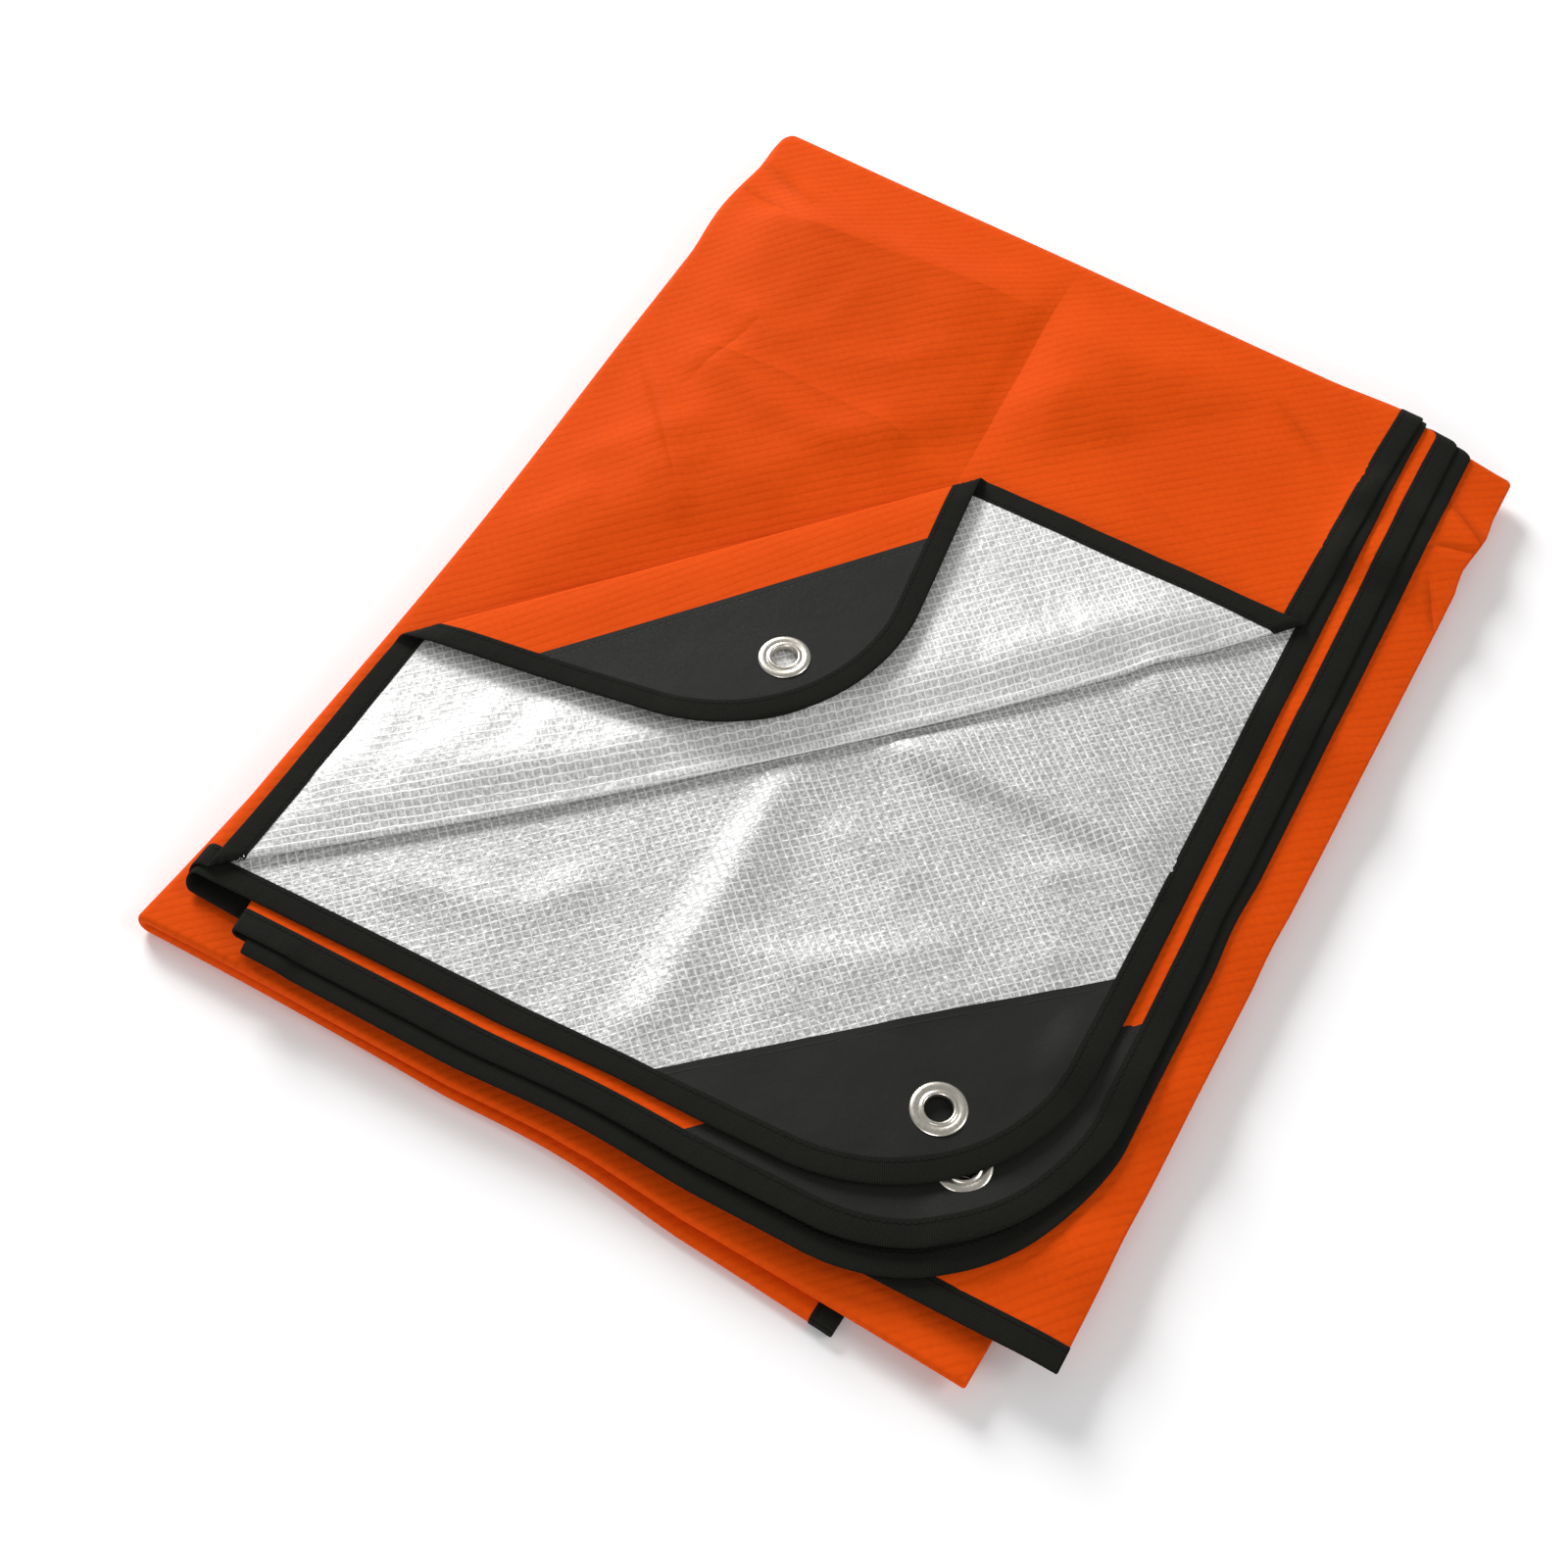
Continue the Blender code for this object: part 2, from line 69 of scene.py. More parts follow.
# How far layers are lifted near the turned tip, and how late a layer's near edge swings out to its right end
LIFTS = {"top_2": 4.5, "top_3": 3.3, "top_4": 1.2}
SWINGS = {"low_a": 2.0, "low_b": 2.0}
PANELS = (
    ("top_1", "mid_8", "mid_7", "top_2"),
    ("low_b", "low_a", "low_a", "low_b"),
    ("low_b", "low_a", "low_a", "low_b"),
    ("top_4", "mid_5", "mid_6", "top_3"),
)
PACKET_ORIGIN = np.array([193.968, 222.691, -20.1])
FAR_LINE = 475.0
SKEW_FROM = 120.0
SKEW_LEFT = 13.3
SKEW_SLOPE = -0.0975
FAR_BOW = {"out": 0.5, "half": 200.0}
WAIST = {"in": 2.2, "y": 190.0, "half": 150.0, "reach": 120.0}
LIFT_CENTRE = (322.0, 22.0)
LIFT_REACH = 175.0
TURNS = (
    {"from": (8.0, -2.0), "to": (349.0, 318.0), "gap": 1.6, "stations": 12},
    {"from": (195.0, 327.0), "to": (5.2, 120.2), "gap": 3.0, "stations": 14},
)
BOW = 9.0
BOW_REACH = 85.0


def stack_before_each_fold():
    low, high = -CLOTH / 2, CLOTH / 2
    steps = []
    for fold in FOLDS:
        thickness = high - low
        steps.append({"low": low, "high": high, "arc": pi * (FOLD_GAP + thickness) / 2})
        high += max(fold["turn"], 0) * (FOLD_GAP + thickness)
        low += min(fold["turn"], 0) * (FOLD_GAP + thickness)
    return steps, high


STACK, STACK_HIGH = stack_before_each_fold()
HALF, ACROSS, QUARTER, FAR = [fold["line"] for fold in FOLDS]
ARC_HALF, ARC_ACROSS, ARC_QUARTER, ARC_FAR = [step["arc"] for step in STACK]
ACROSS_ARCS = (
    (2 * HALF - ARC_HALF - QUARTER, ARC_QUARTER),
    (HALF - ARC_HALF, ARC_HALF),
    (QUARTER - ARC_QUARTER, ARC_QUARTER),
)
ALONG_ARCS = (
    (FAR, ARC_FAR),
    (ACROSS, ARC_ACROSS),
    (2 * ACROSS + ARC_ACROSS - FAR - ARC_FAR, ARC_FAR),
)
FOLDED_RIGHT = 2 * QUARTER - HALF - ARC_QUARTER
FOLDED_NEAR = 2 * FAR - ACROSS + ARC_FAR
RIGHT_EDGES = (2 * HALF - ARC_HALF, FOLDED_RIGHT, FOLDED_RIGHT, WIDTH)
NEAR_EDGES = (0.0, FOLDED_NEAR, FOLDED_NEAR, 2 * ACROSS + ARC_ACROSS - LENGTH)
# The top panel ends where the sheet's first bends begin, give or take a hair
TOP_ACROSS = ACROSS_ARCS[0][0] + 0.01
TOP_ALONG = ALONG_ARCS[0][0] + 0.01


def smooth(t):
    t = np.clip(t, 0.0, 1.0)
    return t * t * (3 - 2 * t)


def bend(points, moving, direction, line, turn, low, high, gap):
    """Folds the moving points past a straight line up (turn 1) or under (turn -1), round a small roll."""
    direction = np.array(direction)
    past = points[:, :2] @ direction - line
    face = high if turn > 0 else low
    radius = gap / 2 + turn * (face - points[:, 2])
    arc = pi * (gap + high - low) / 2
    angle = pi * np.clip(past / arc, 0.0, 1.0)
    reach = radius * np.sin(angle) - np.maximum(past - arc, 0.0)
    moved = moving & (past > 0)
    points[:, :2] += np.where(moved, reach - past, 0.0)[:, None] * direction
    points[:, 2] = np.where(moved, face + turn * (gap / 2 - radius * np.cos(angle)), points[:, 2])


def panel_index(distance, arcs):
    """Which panel, 0 to 3, a distance across or along the sheet is in, passing smoothly between them."""
    return sum(smooth((distance - start) / length) for start, length in arcs)


def blended(table, along, across):
    """A 4 by 4 table of panel values, read between its rows and columns."""
    table = np.array(table)
    row = np.minimum(along.astype(int), 2)
    column = np.minimum(across.astype(int), 2)
    up, over = along - row, across - column
    near = table[row, column] * (1 - over) + table[row, column + 1] * over
    far = table[row + 1, column] * (1 - over) + table[row + 1, column + 1] * over
    return near * (1 - up) + far * up


def lay(flat):
    """Folds points of the flat sheet four times and draws each layer to its place in the packet."""
    across = panel_index(flat[:, 0], ACROSS_ARCS)
    along = panel_index(flat[:, 1], ALONG_ARCS)
    points = flat.copy()
    everything = np.ones(len(points), bool)
    for fold, step in zip(FOLDS, STACK):
        line = fold["line"] * sum(fold["moves"])
        bend(points, everything, fold["moves"], line, fold["turn"], step["low"], step["high"], FOLD_GAP)

    def edge(key, share):
        ends = []
        for end in (0, 1):
            table = [[LAYERS[name][key][end] for name in names] for names in PANELS]
            ends.append(blended(table, along, across))
        return ends[0] + share * (ends[1] - ends[0])

    def panel_blend(table, common):
        return blended([[table.get(name, common) for name in names] for names in PANELS], along, across)

    right_edge = blended([RIGHT_EDGES] * 4, along, across)
    near_edge = blended(np.transpose([NEAR_EDGES] * 4), along, across)
    over = np.clip((points[:, 0] - QUARTER) / (right_edge - QUARTER), 0.0, 1.0)
    back = np.clip((FAR - points[:, 1]) / (FAR - near_edge), 0.0, 1.0)
    outside_x = points[:, 0] - QUARTER - over * (right_edge - QUARTER)
    outside_y = points[:, 1] - FAR + back * (FAR - near_edge)
    left = edge("left", back**4)
    x = left + over * (edge("right", back) - left) + outside_x
    y = FAR_LINE + back * (edge("near", over ** panel_blend(SWINGS, 1.0)) - FAR_LINE) + outside_y
    far_edge = SKEW_LEFT + SKEW_SLOPE * x + FAR_BOW["out"] * (1 - (x / FAR_BOW["half"] - 1) ** 2)
    y += np.clip((y - SKEW_FROM) / (FAR_LINE - SKEW_FROM), 0.0, 1.0) * far_edge
    waist = 1 - np.clip(abs(y - WAIST["y"]) / WAIST["half"], 0.0, 1.0) ** 2
    x += WAIST["in"] * waist**2 * (1 - smooth(x / WAIST["reach"]))
    distance = np.hypot(x - LIFT_CENTRE[0], y - LIFT_CENTRE[1]) / LIFT_REACH
    lifts = panel_blend(LIFTS, 0.0)
    return np.column_stack([x, y, points[:, 2] + lifts * np.maximum(1 - distance**2, 0.0) ** 2])


def turn_frame(turn, low):
    start = np.array(turn["from"])
    run = np.array(turn["to"]) - start
    length = np.linalg.norm(run)
    run /= length
    direction = np.array([run[1], -run[0]])
    line = start @ direction - turn["gap"] / 2 - CLOTH
    return {
        "start": start,
        "run": run,
        "length": length,
        "moves": direction,
        "line": line,
        "low": low,
        "high": low + CLOTH,
        "gap": turn["gap"],
        "stations": turn["stations"],
    }


CORNER = turn_frame(TURNS[0], STACK_HIGH - CLOTH)
TIP = turn_frame(TURNS[1], STACK_HIGH + TURNS[0]["gap"])
# Heights that tell the turned corner and its tip from the layer they came from
TURNED_BACK = TIP["low"] - 0.2
UNDER_TIP = TIP["high"] + 0.4
CORNER_FACE = CORNER["high"] + 0.9
TIP_FACE = TIP["high"] + 1.4


def in_top_panel(flat):
    return (flat[:, 0] <= TOP_ACROSS) & (flat[:, 1] <= TOP_ALONG)


def turn_over(points, moving, turned):
    bend(points, moving, turned["moves"], turned["line"], 1, turned["low"], turned["high"], turned["gap"])


def beyond_diagonal(points):
    """How far points lie outside the bowed diagonal fold, and where along it they are."""
    share = (points[:, :2] - CORNER["start"]) @ CORNER["run"] / CORNER["length"]
    outside = (points[:, :2] - CORNER["start"]) @ CORNER["moves"]
    return outside, share, BOW * np.maximum(1 - (2 * share - 1) ** 2, 0.0)


def turn_tip(points, top):
    """Turns the tip of the corner that is already turned back, and bows the diagonal fold outward."""
    turn_over(points, top & (points[:, 2] > TURNED_BACK), TIP)
    outside, _, bow = beyond_diagonal(points)
    amount = bow * (1 - smooth(-outside / BOW_REACH))
    moving = top & (points[:, 2] < UNDER_TIP)
    points[:, :2] += np.where(moving, amount, 0.0)[:, None] * CORNER["moves"]


# Creases left in the cloth by earlier folding, as lines in the packet's plan: how high each stands, and how
# wide it is on its left and right side, seen along the line
CREASE_EDGE = 1.35
CREASE_FADE = 0.12
CREASES = {
    "top": (
        {"line": ((-14, 404), (29, 430), (87, 436), (139, 441), (182, 462)), "high": 7.0, "wide": (34, 58)},
        {"line": ((178, 462), (240, 456), (310, 462), (350, 452)), "high": 3.6, "wide": (26, 60)},
        {"line": ((5, 466), (22, 461), (39, 448)), "high": 3.0, "wide": (10, 9)},
        {"line": ((180, 470), (176, 418), (176, 372), (182, 322)), "high": -6.0, "wide": (28, 46)},
        {"line": ((96, 356), (128, 372), (150, 402)), "high": 1.6, "wide": (8, 12)},
        {"line": ((60, 350), (84, 380), (88, 412)), "high": 1.2, "wide": (6, 12)},
        {"line": ((222, 352), (262, 366), (318, 358)), "high": 1.6, "wide": (10, 20)},
        {"line": ((250, 414), (276, 424), (330, 420)), "high": 1.4, "wide": (8, 14)},
        {"line": ((10, 323), (42, 288), (82, 238)), "high": 2.4, "wide": (10, 16)},
        {"line": ((52, 252), (75, 282)), "high": 1.6, "wide": (7, 10)},
        {"line": ((27, 330), (50, 328), (91, 315), (118, 313), (154, 339)), "high": 2.8, "wide": (22, 14)},
        {"line": ((0, 240), (30, 262), (64, 300)), "high": 2.4, "wide": (12, 20)},
        {"line": ((190, 398), (240, 386), (300, 402)), "high": 2.0, "wide": (18, 30)},
        {"line": ((298, 440), (312, 458), (336, 464)), "high": 3.4, "wide": (8, 14)},
        {"line": ((10, 380), (30, 366), (60, 362)), "high": 1.8, "wide": (14, 10)},
        {"line": ((-2, 196), (24, 214), (40, 240)), "high": 1.8, "wide": (9, 12)},
    ),
    "turned": (
        {"line": ((81, 81), (145, 135), (197, 177)), "high": 1.6, "wide": (14, 9)},
        {"line": ((262, 268), (290, 290), (326, 292)), "high": 2.8, "wide": (12, 22)},
        {"line": ((236, 232), (262, 262), (290, 268)), "high": 2.0, "wide": (12, 18)},
        {"line": ((40, 62), (60, 92), (66, 122)), "high": 1.8, "wide": (8, 14)},
        {"line": ((62, 74), (84, 100), (90, 130)), "high": 1.4, "wide": (7, 12)},
        {"line": ((20, 40), (28, 70), (26, 96)), "high": 1.5, "wide": (8, 12)},
    ),
    "second": (
        {"line": ((186, 160), (190, 120), (191, 86), (191, 2)), "high": 4.4, "wide": (24, 12)},
        {"line": ((196, 184), (236, 179), (285, 180), (350, 179)), "high": 5.2, "wide": (44, 11)},
        {"line": ((350, 177), (330, 167), (300, 148)), "high": 2.2, "wide": (6, 9)},
        {"line": ((352, 170), (336, 156), (322, 150)), "high": 1.8, "wide": (5, 7)},
        {"line": ((60, 20), (120, 34), (150, 66)), "high": 1.6, "wide": (20, 12)},
        {"line": ((201, 61), (230, 67), (262, 86), (290, 109)), "high": 1.9, "wide": (9, 28)},
        {"line": ((214, 131), (239, 132), (262, 122)), "high": 1.8, "wide": (8, 14)},
        {"line": ((270, 60), (300, 84), (334, 130)), "high": 1.5, "wide": (14, 12)},
    ),
    "low": (
        {"line": ((340, 410), (384, 400), (430, 412)), "high": 4.0, "wide": (22, 24)},
        {"line": ((340, 366), (386, 378), (430, 368)), "high": 4.2, "wide": (24, 20)},
        {"line": ((290, 262), (380, 272), (430, 262)), "high": 3.0, "wide": (20, 30)},
        {"line": ((332, 84), (368, 84), (430, 100)), "high": 3.2, "wide": (26, 20)},
        {"line": ((326, -14), (352, 6), (430, 22)), "high": 2.8, "wide": (24, 20)},
        {"line": ((-12, -22), (20, -30), (60, -28)), "high": 2.0, "wide": (16, 18)},
    ),
}
# Where the stacked edges are pushed a little out of line together
NUDGES = (
    {"at": (-6.0, 504.0), "reach": 20.0, "by": (4.0, -0.6)},
    {"at": (-8.0, 430.0), "reach": 38.0, "by": (-3.0, 0.0)},
    {"at": (10.0, 466.0), "reach": 18.0, "by": (1.6, 0.0)},
    {"at": (352.0, 470.0), "reach": 44.0, "by": (1.0, 2.4)},
    {"at": (188.0, -46.0), "reach": 60.0, "by": (0.0, 2.8)},
    {"at": (398.0, 388.0), "reach": 16.0, "by": (-2.2, 0.0)},
    {"at": (402.0, 412.0), "reach": 14.0, "by": (1.4, 0.0)},
    {"at": (384.0, 168.0), "reach": 26.0, "by": (-1.2, 0.0)},
    {"at": (374.0, 30.0), "reach": 30.0, "by": (-1.4, 0.0)},
)


def crease_height(x, y, crease, rounded):
    """A ridge along a line of points, fading out at its ends, with a sharp or a rounded top."""
    line = np.array(crease["line"], float)
    steps = np.linalg.norm(np.diff(line, axis=0), axis=1)
    total = steps.sum()
    nearest = np.full(len(x), np.inf)
    side = np.zeros(len(x))
    share = np.zeros(len(x))
    covered = 0.0
    for start, end, step in zip(line[:-1], line[1:], steps):
        run = (end - start) / step
        along = (x - start[0]) * run[0] + (y - start[1]) * run[1]
        held = np.clip(along, 0.0, step)
        off_x = x - start[0] - held * run[0]
        off_y = y - start[1] - held * run[1]
        distance = np.hypot(off_x, off_y)
        closer = distance < nearest
        nearest = np.where(closer, distance, nearest)
        side = np.where(closer, run[0] * off_y - run[1] * off_x, side)
        share = np.where(closer, (covered + held) / total, share)
        covered += step
    off = nearest / np.where(side > 0, crease["wide"][0], crease["wide"][1])
    fade = smooth(share / CREASE_FADE) * smooth((1 - share) / CREASE_FADE)
    profile = np.maximum(1 - off**2, 0.0) ** 2 if rounded else np.maximum(1 - off, 0.0) ** CREASE_EDGE
    return crease["high"] * fade * profile


def waves(x, y, seed, longest, count=7, shortest=0.45, spread=1.5):
    """Gentle unevenness between 0 and about 1: a few slow waves in every direction."""
    random = np.random.default_rng(seed)
    total = np.zeros(len(x))
    for _ in range(count):
        heading = random.uniform(0, 2 * pi)
        pitch = longest * random.uniform(shortest, 1.0)
        phase = random.uniform(0, 2 * pi)
        total += np.sin(2 * pi * (x * cos(heading) + y * sin(heading)) / pitch + phase)
    return 0.5 + total / (2 * count**0.5 * spread)


# What swells, crinkles and settles besides the creases: heights, and where each sets in, over what distance
CALM_EDGES = {"left": (4.0, 30.0), "right": (366.0, 16.0)}
CRINKLES = ({"seed": 3, "longest": 55.0, "high": 0.45}, {"seed": 4, "longest": 24.0, "high": 0.3})
HELD_CRINKLE = 0.8
FAR_SLANT = 0.1
TIP_CLEAR = 4.0
OPEN_TOP = {"tip": 14.0, "far": 445.0, "over": 60.0, "least": 0.6}
SWELL = {"high": 6.0, "left": (2.0, 60.0), "right": (362.0, 26.0), "tip": 45.0, "far": 488.0, "over": 46.0}
TURNED_SHOWN = {"fold": (3.0, 10.0), "tip": 10.0}
LIP = {"high": 3.1, "start": 0.5, "width": 4.0, "more": 7.0, "seed": 17, "longest": 90.0}
LIP_ENDS = (0.14, 0.12)
LIP_BACK = {"low": 0.45, "more": 0.55, "from": 60.0, "over": 45.0}
MOUND = {"at": (162.0, 189.6), "reach": 38.0, "high": 3.0}
TIP_PUFF = {"high": 1.8, "over": 13.0}
SECOND_BARE = (1.0, 9.0)
LYING = (1.0, 9.0)
UNEVEN = {"high": 1.3, "seed": 11, "longest": 320.0, "sunk": 0.35, "most": 1.3}
THINNED = {"from": 377.0, "over": 32.0, "by": 0.22}


def grows(value, start, over):
    return smooth((value - start) / over)


def fades(value, end, over):
    return smooth((end - value) / over)


def wrinkle(points, flat):
    """Raises the creases and puckers of each layer that shows, always away from the layer under it."""
    x, y, z = points.T
    ground = PACKET_ORIGIN[2]
    outside, share, bow = beyond_diagonal(points)
    top = in_top_panel(flat)
    turned = top & (z > CORNER_FACE)
    tip = top & (z > TIP_FACE)
    base = top & ~turned
    second = (flat[:, 0] > QUARTER) & (flat[:, 1] < FAR)
    heights = {}
    for name, found in CREASES.items():
        heights[name] = sum(crease_height(x, y, crease, name == "low") for crease in found)
    inward = grows(x, *CALM_EDGES["left"]) * fades(x, *CALM_EDGES["right"])
    behind_tip = (points[:, :2] @ TIP["moves"] - TIP["line"]) - TIP_CLEAR
    crinkle = sum(each["high"] * waves(x, y, each["seed"], each["longest"]) for each in CRINKLES)

    # the top layer swells between its edges and stays down under the turned corner
    to_far = OPEN_TOP["far"] - FAR_SLANT * x - y
    open_top = smooth(behind_tip / OPEN_TOP["tip"]) * smooth(to_far / OPEN_TOP["over"] + OPEN_TOP["least"])
    swell = SWELL["high"] * grows(x, *SWELL["left"]) * fades(x, *SWELL["right"])
    swell *= smooth(behind_tip / SWELL["tip"])
    swell *= smooth((SWELL["far"] - FAR_SLANT * x - y) / SWELL["over"])
    rise = np.where(base, np.maximum(swell + (heights["top"] + crinkle) * inward * open_top, 0.0), 0.0)

    # the turned corner puffs along its fold and bulges up behind the tip's eyelet
    shown = grows(-outside, *TURNED_SHOWN["fold"]) * smooth(-behind_tip / TURNED_SHOWN["tip"])
    width = LIP["width"] + LIP["more"] * waves(x, y, LIP["seed"], LIP["longest"])
    back = LIP_BACK["low"] + LIP_BACK["more"] * smooth((-outside - LIP_BACK["from"]) / -LIP_BACK["over"])
    lip = smooth((-outside - LIP["start"]) / width) * back
    puffed = LIP["high"] * lip * smooth(share / LIP_ENDS[0]) * smooth((1 - share) / LIP_ENDS[1])
    from_mound = (x - MOUND["at"][0]) ** 2 + (y - MOUND["at"][1]) ** 2
    mound = MOUND["high"] * np.maximum(1 - from_mound / MOUND["reach"] ** 2, 0.0) ** 2
    rise += np.where(turned & ~tip, (heights["turned"] + HELD_CRINKLE * crinkle) * shown + mound, 0.0)
    tip_puff = TIP_PUFF["high"] * smooth(-behind_tip / TIP_PUFF["over"])
    rise += np.where(turned, puffed, 0.0) + np.where(tip, tip_puff, 0.0)

    # the second layer shows its silver face where the corner is turned off it
    bare = grows(outside - bow, *SECOND_BARE) * inward
    rise += np.where(second, (heights["second"] + HELD_CRINKLE * crinkle) * bare, 0.0)

    # the lowest folds wave at the right and near sides, above what lies on the ground
    rise += heights["low"] * np.clip((z - ground - LYING[0]) / LYING[1], 0.0, 1.0)
    for nudge in NUDGES:
        away = np.hypot(x - nudge["at"][0], y - nudge["at"][1]) / nudge["reach"]
        points[:, :2] += (np.maximum(1 - away**2, 0.0) ** 2)[:, None] * nudge["by"]

    # the whole stack lies unevenly, and thinner towards the folds on its right
    level = np.clip((z - ground) / (STACK_HIGH - ground), 0.0, UNEVEN["most"])
    drift = waves(x, y, UNEVEN["seed"], UNEVEN["longest"]) - UNEVEN["sunk"]
    high = z + rise + UNEVEN["high"] * level * drift - ground
    points[:, 2] = ground + high * (1 - THINNED["by"] * grows(x, THINNED["from"], THINNED["over"]))


def settle(flat):
    """Takes points of the flat sheet all the way to the packet, in metres, for a mesh that needs no cuts."""
    points = lay(flat)
    top = in_top_panel(flat)
    turn_over(points, top, CORNER)
    turn_tip(points, top)
    wrinkle(points, flat)
    return (points - PACKET_ORIGIN) * MM


CUT_SNAP = 0.0005


def cut(mesh, faces, direction, at, clear=False):
    """Cuts the given faces along a straight upright plane, and clears what lies past it if asked."""
    geometry = set(faces)
    for face in faces:
        geometry.update(face.edges)
        geometry.update(face.verts)
    bmesh.ops.bisect_plane(
        mesh,
        geom=list(geometry),
        dist=CUT_SNAP,
        plane_co=(direction[0] * at, direction[1] * at, 0.0),
        plane_no=(direction[0], direction[1], 0.0),
        clear_outer=clear,
    )


def co_and_flat(mesh, layers):
    mesh.verts.ensure_lookup_table()
    points = np.array([vert.co for vert in mesh.verts], float)
    flat = np.array([[vert[layer] for layer in layers[:2]] for vert in mesh.verts], float)
    return points, flat


def write(mesh, points):
    for vert, point in zip(mesh.verts, points):
        vert.co = point


def top_faces(mesh, layers, lowest=None):
    across, along = layers[:2]
    found = []
    for face in mesh.faces:
        verts = face.verts
        if all(vert[across] <= TOP_ACROSS and vert[along] <= TOP_ALONG for vert in verts):
            if lowest is None or min(vert.co.z for vert in verts) > lowest:
                found.append(face)
    return found


def cut_for_turn(mesh, layers, turned, lowest=None):
    """Cuts the top layer into narrow strips where it rolls over a diagonal fold."""
    arc = pi * (turned["gap"] + CLOTH) / 2
    for step in range(turned["stations"] + 1):
        at = turned["line"] + arc * step / turned["stations"]
        cut(mesh, top_faces(mesh, layers, lowest), turned["moves"], at)


def thicken(mesh, half):
    """Gives a flat mesh its thickness, half of it to each side."""
    bmesh.ops.recalc_face_normals(mesh, faces=mesh.faces[:])
    mesh.faces.ensure_lookup_table()
    if mesh.faces[0].normal.z > 0:
        bmesh.ops.reverse_faces(mesh, faces=mesh.faces[:])
    for vert in mesh.verts:
        vert.co.z = -half
    raised = bmesh.ops.extrude_face_region(mesh, geom=mesh.faces[:], use_keep_orig=True)
    for item in raised["geom"]:
        if isinstance(item, bmesh.types.BMVert):
            item.co.z = half


def fold_up(mesh):
    """Takes a thick flat mesh through every fold, cutting its turned corner along the two diagonals."""
    floats = mesh.verts.layers.float
    layers = [floats.new("across"), floats.new("along"), floats.new("face_side")]
    thickest = max(vert.co.z for vert in mesh.verts)
    for vert in mesh.verts:
        vert[layers[0]] = vert.co.x
        vert[layers[1]] = vert.co.y
        vert[layers[2]] = vert.co.z / thickest
    write(mesh, lay(np.array([vert.co for vert in mesh.verts], float)))
    cut_for_turn(mesh, layers, CORNER)
    points, flat = co_and_flat(mesh, layers)
    turn_over(points, in_top_panel(flat), CORNER)
    write(mesh, points)
    cut_for_turn(mesh, layers, TIP, TURNED_BACK)
    points, flat = co_and_flat(mesh, layers)
    turn_tip(points, in_top_panel(flat))
    wrinkle(points, flat)
    write(mesh, (points - PACKET_ORIGIN) * MM)


SHARP_EDGE = radians(50)


def finished_piece(name, mesh, node, material):
    """Turns a mesh into a visible piece that stands for one node of the part."""
    bmesh.ops.recalc_face_normals(mesh, faces=mesh.faces[:])
    data = bpy.data.meshes.new(name)
    mesh.to_mesh(data)
    mesh.free()
    data.shade_smooth()
    data.set_sharp_from_angle(angle=SHARP_EDGE)
    data.materials.append(material)
    piece = bpy.data.objects.new(name, data)
    bpy.context.scene.collection.objects.link(piece)
    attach(piece, "root")
    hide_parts(node)
    return piece


class Wire:
    """A value on its way through a finish's nodes. Sums and products of wires add Math nodes."""

    def __init__(self, finish, socket):
        self.finish = finish
        self.socket = socket

    def math(self, operation, *values):
        return self.finish.node("Math", {"operation": operation}, values)

    def __add__(self, other):
        return self.math("ADD", self, other)

    def __sub__(self, other):
        return self.math("SUBTRACT", self, other)

    def __rsub__(self, other):
        return self.math("SUBTRACT", other, self)

    def __mul__(self, other):
        return self.math("MULTIPLY", self, other)

    def __truediv__(self, other):
        return self.math("DIVIDE", self, other)

    def __abs__(self):
        return self.math("ABSOLUTE", self)

    __radd__ = __add__
    __rmul__ = __mul__

    def or_more(self, other):
        return self.math("MAXIMUM", self, other)

    def or_less(self, other):
        return self.math("MINIMUM", self, other)

    def wave(self, pitch):
        """The distance to the nearest line of a row of parallel lines."""
        return self.math("PINGPONG", self, pitch / 2)

    def ramp(self, start, end):
        """0 up to start, 1 from end on, and smooth between them."""
        settings = {"interpolation_type": "SMOOTHSTEP"}
        return self.finish.node("MapRange", settings, {"Value": self, "From Min": start, "From Max": end})

    def threads(self, pitch, core, edge, fray=None):
        """1 along parallel threads, 0 between them: core and edge are distances from a thread's middle."""
        off = self.wave(pitch) if fray is None else self.wave(pitch) + fray
        return 1 - off.ramp(core, edge)


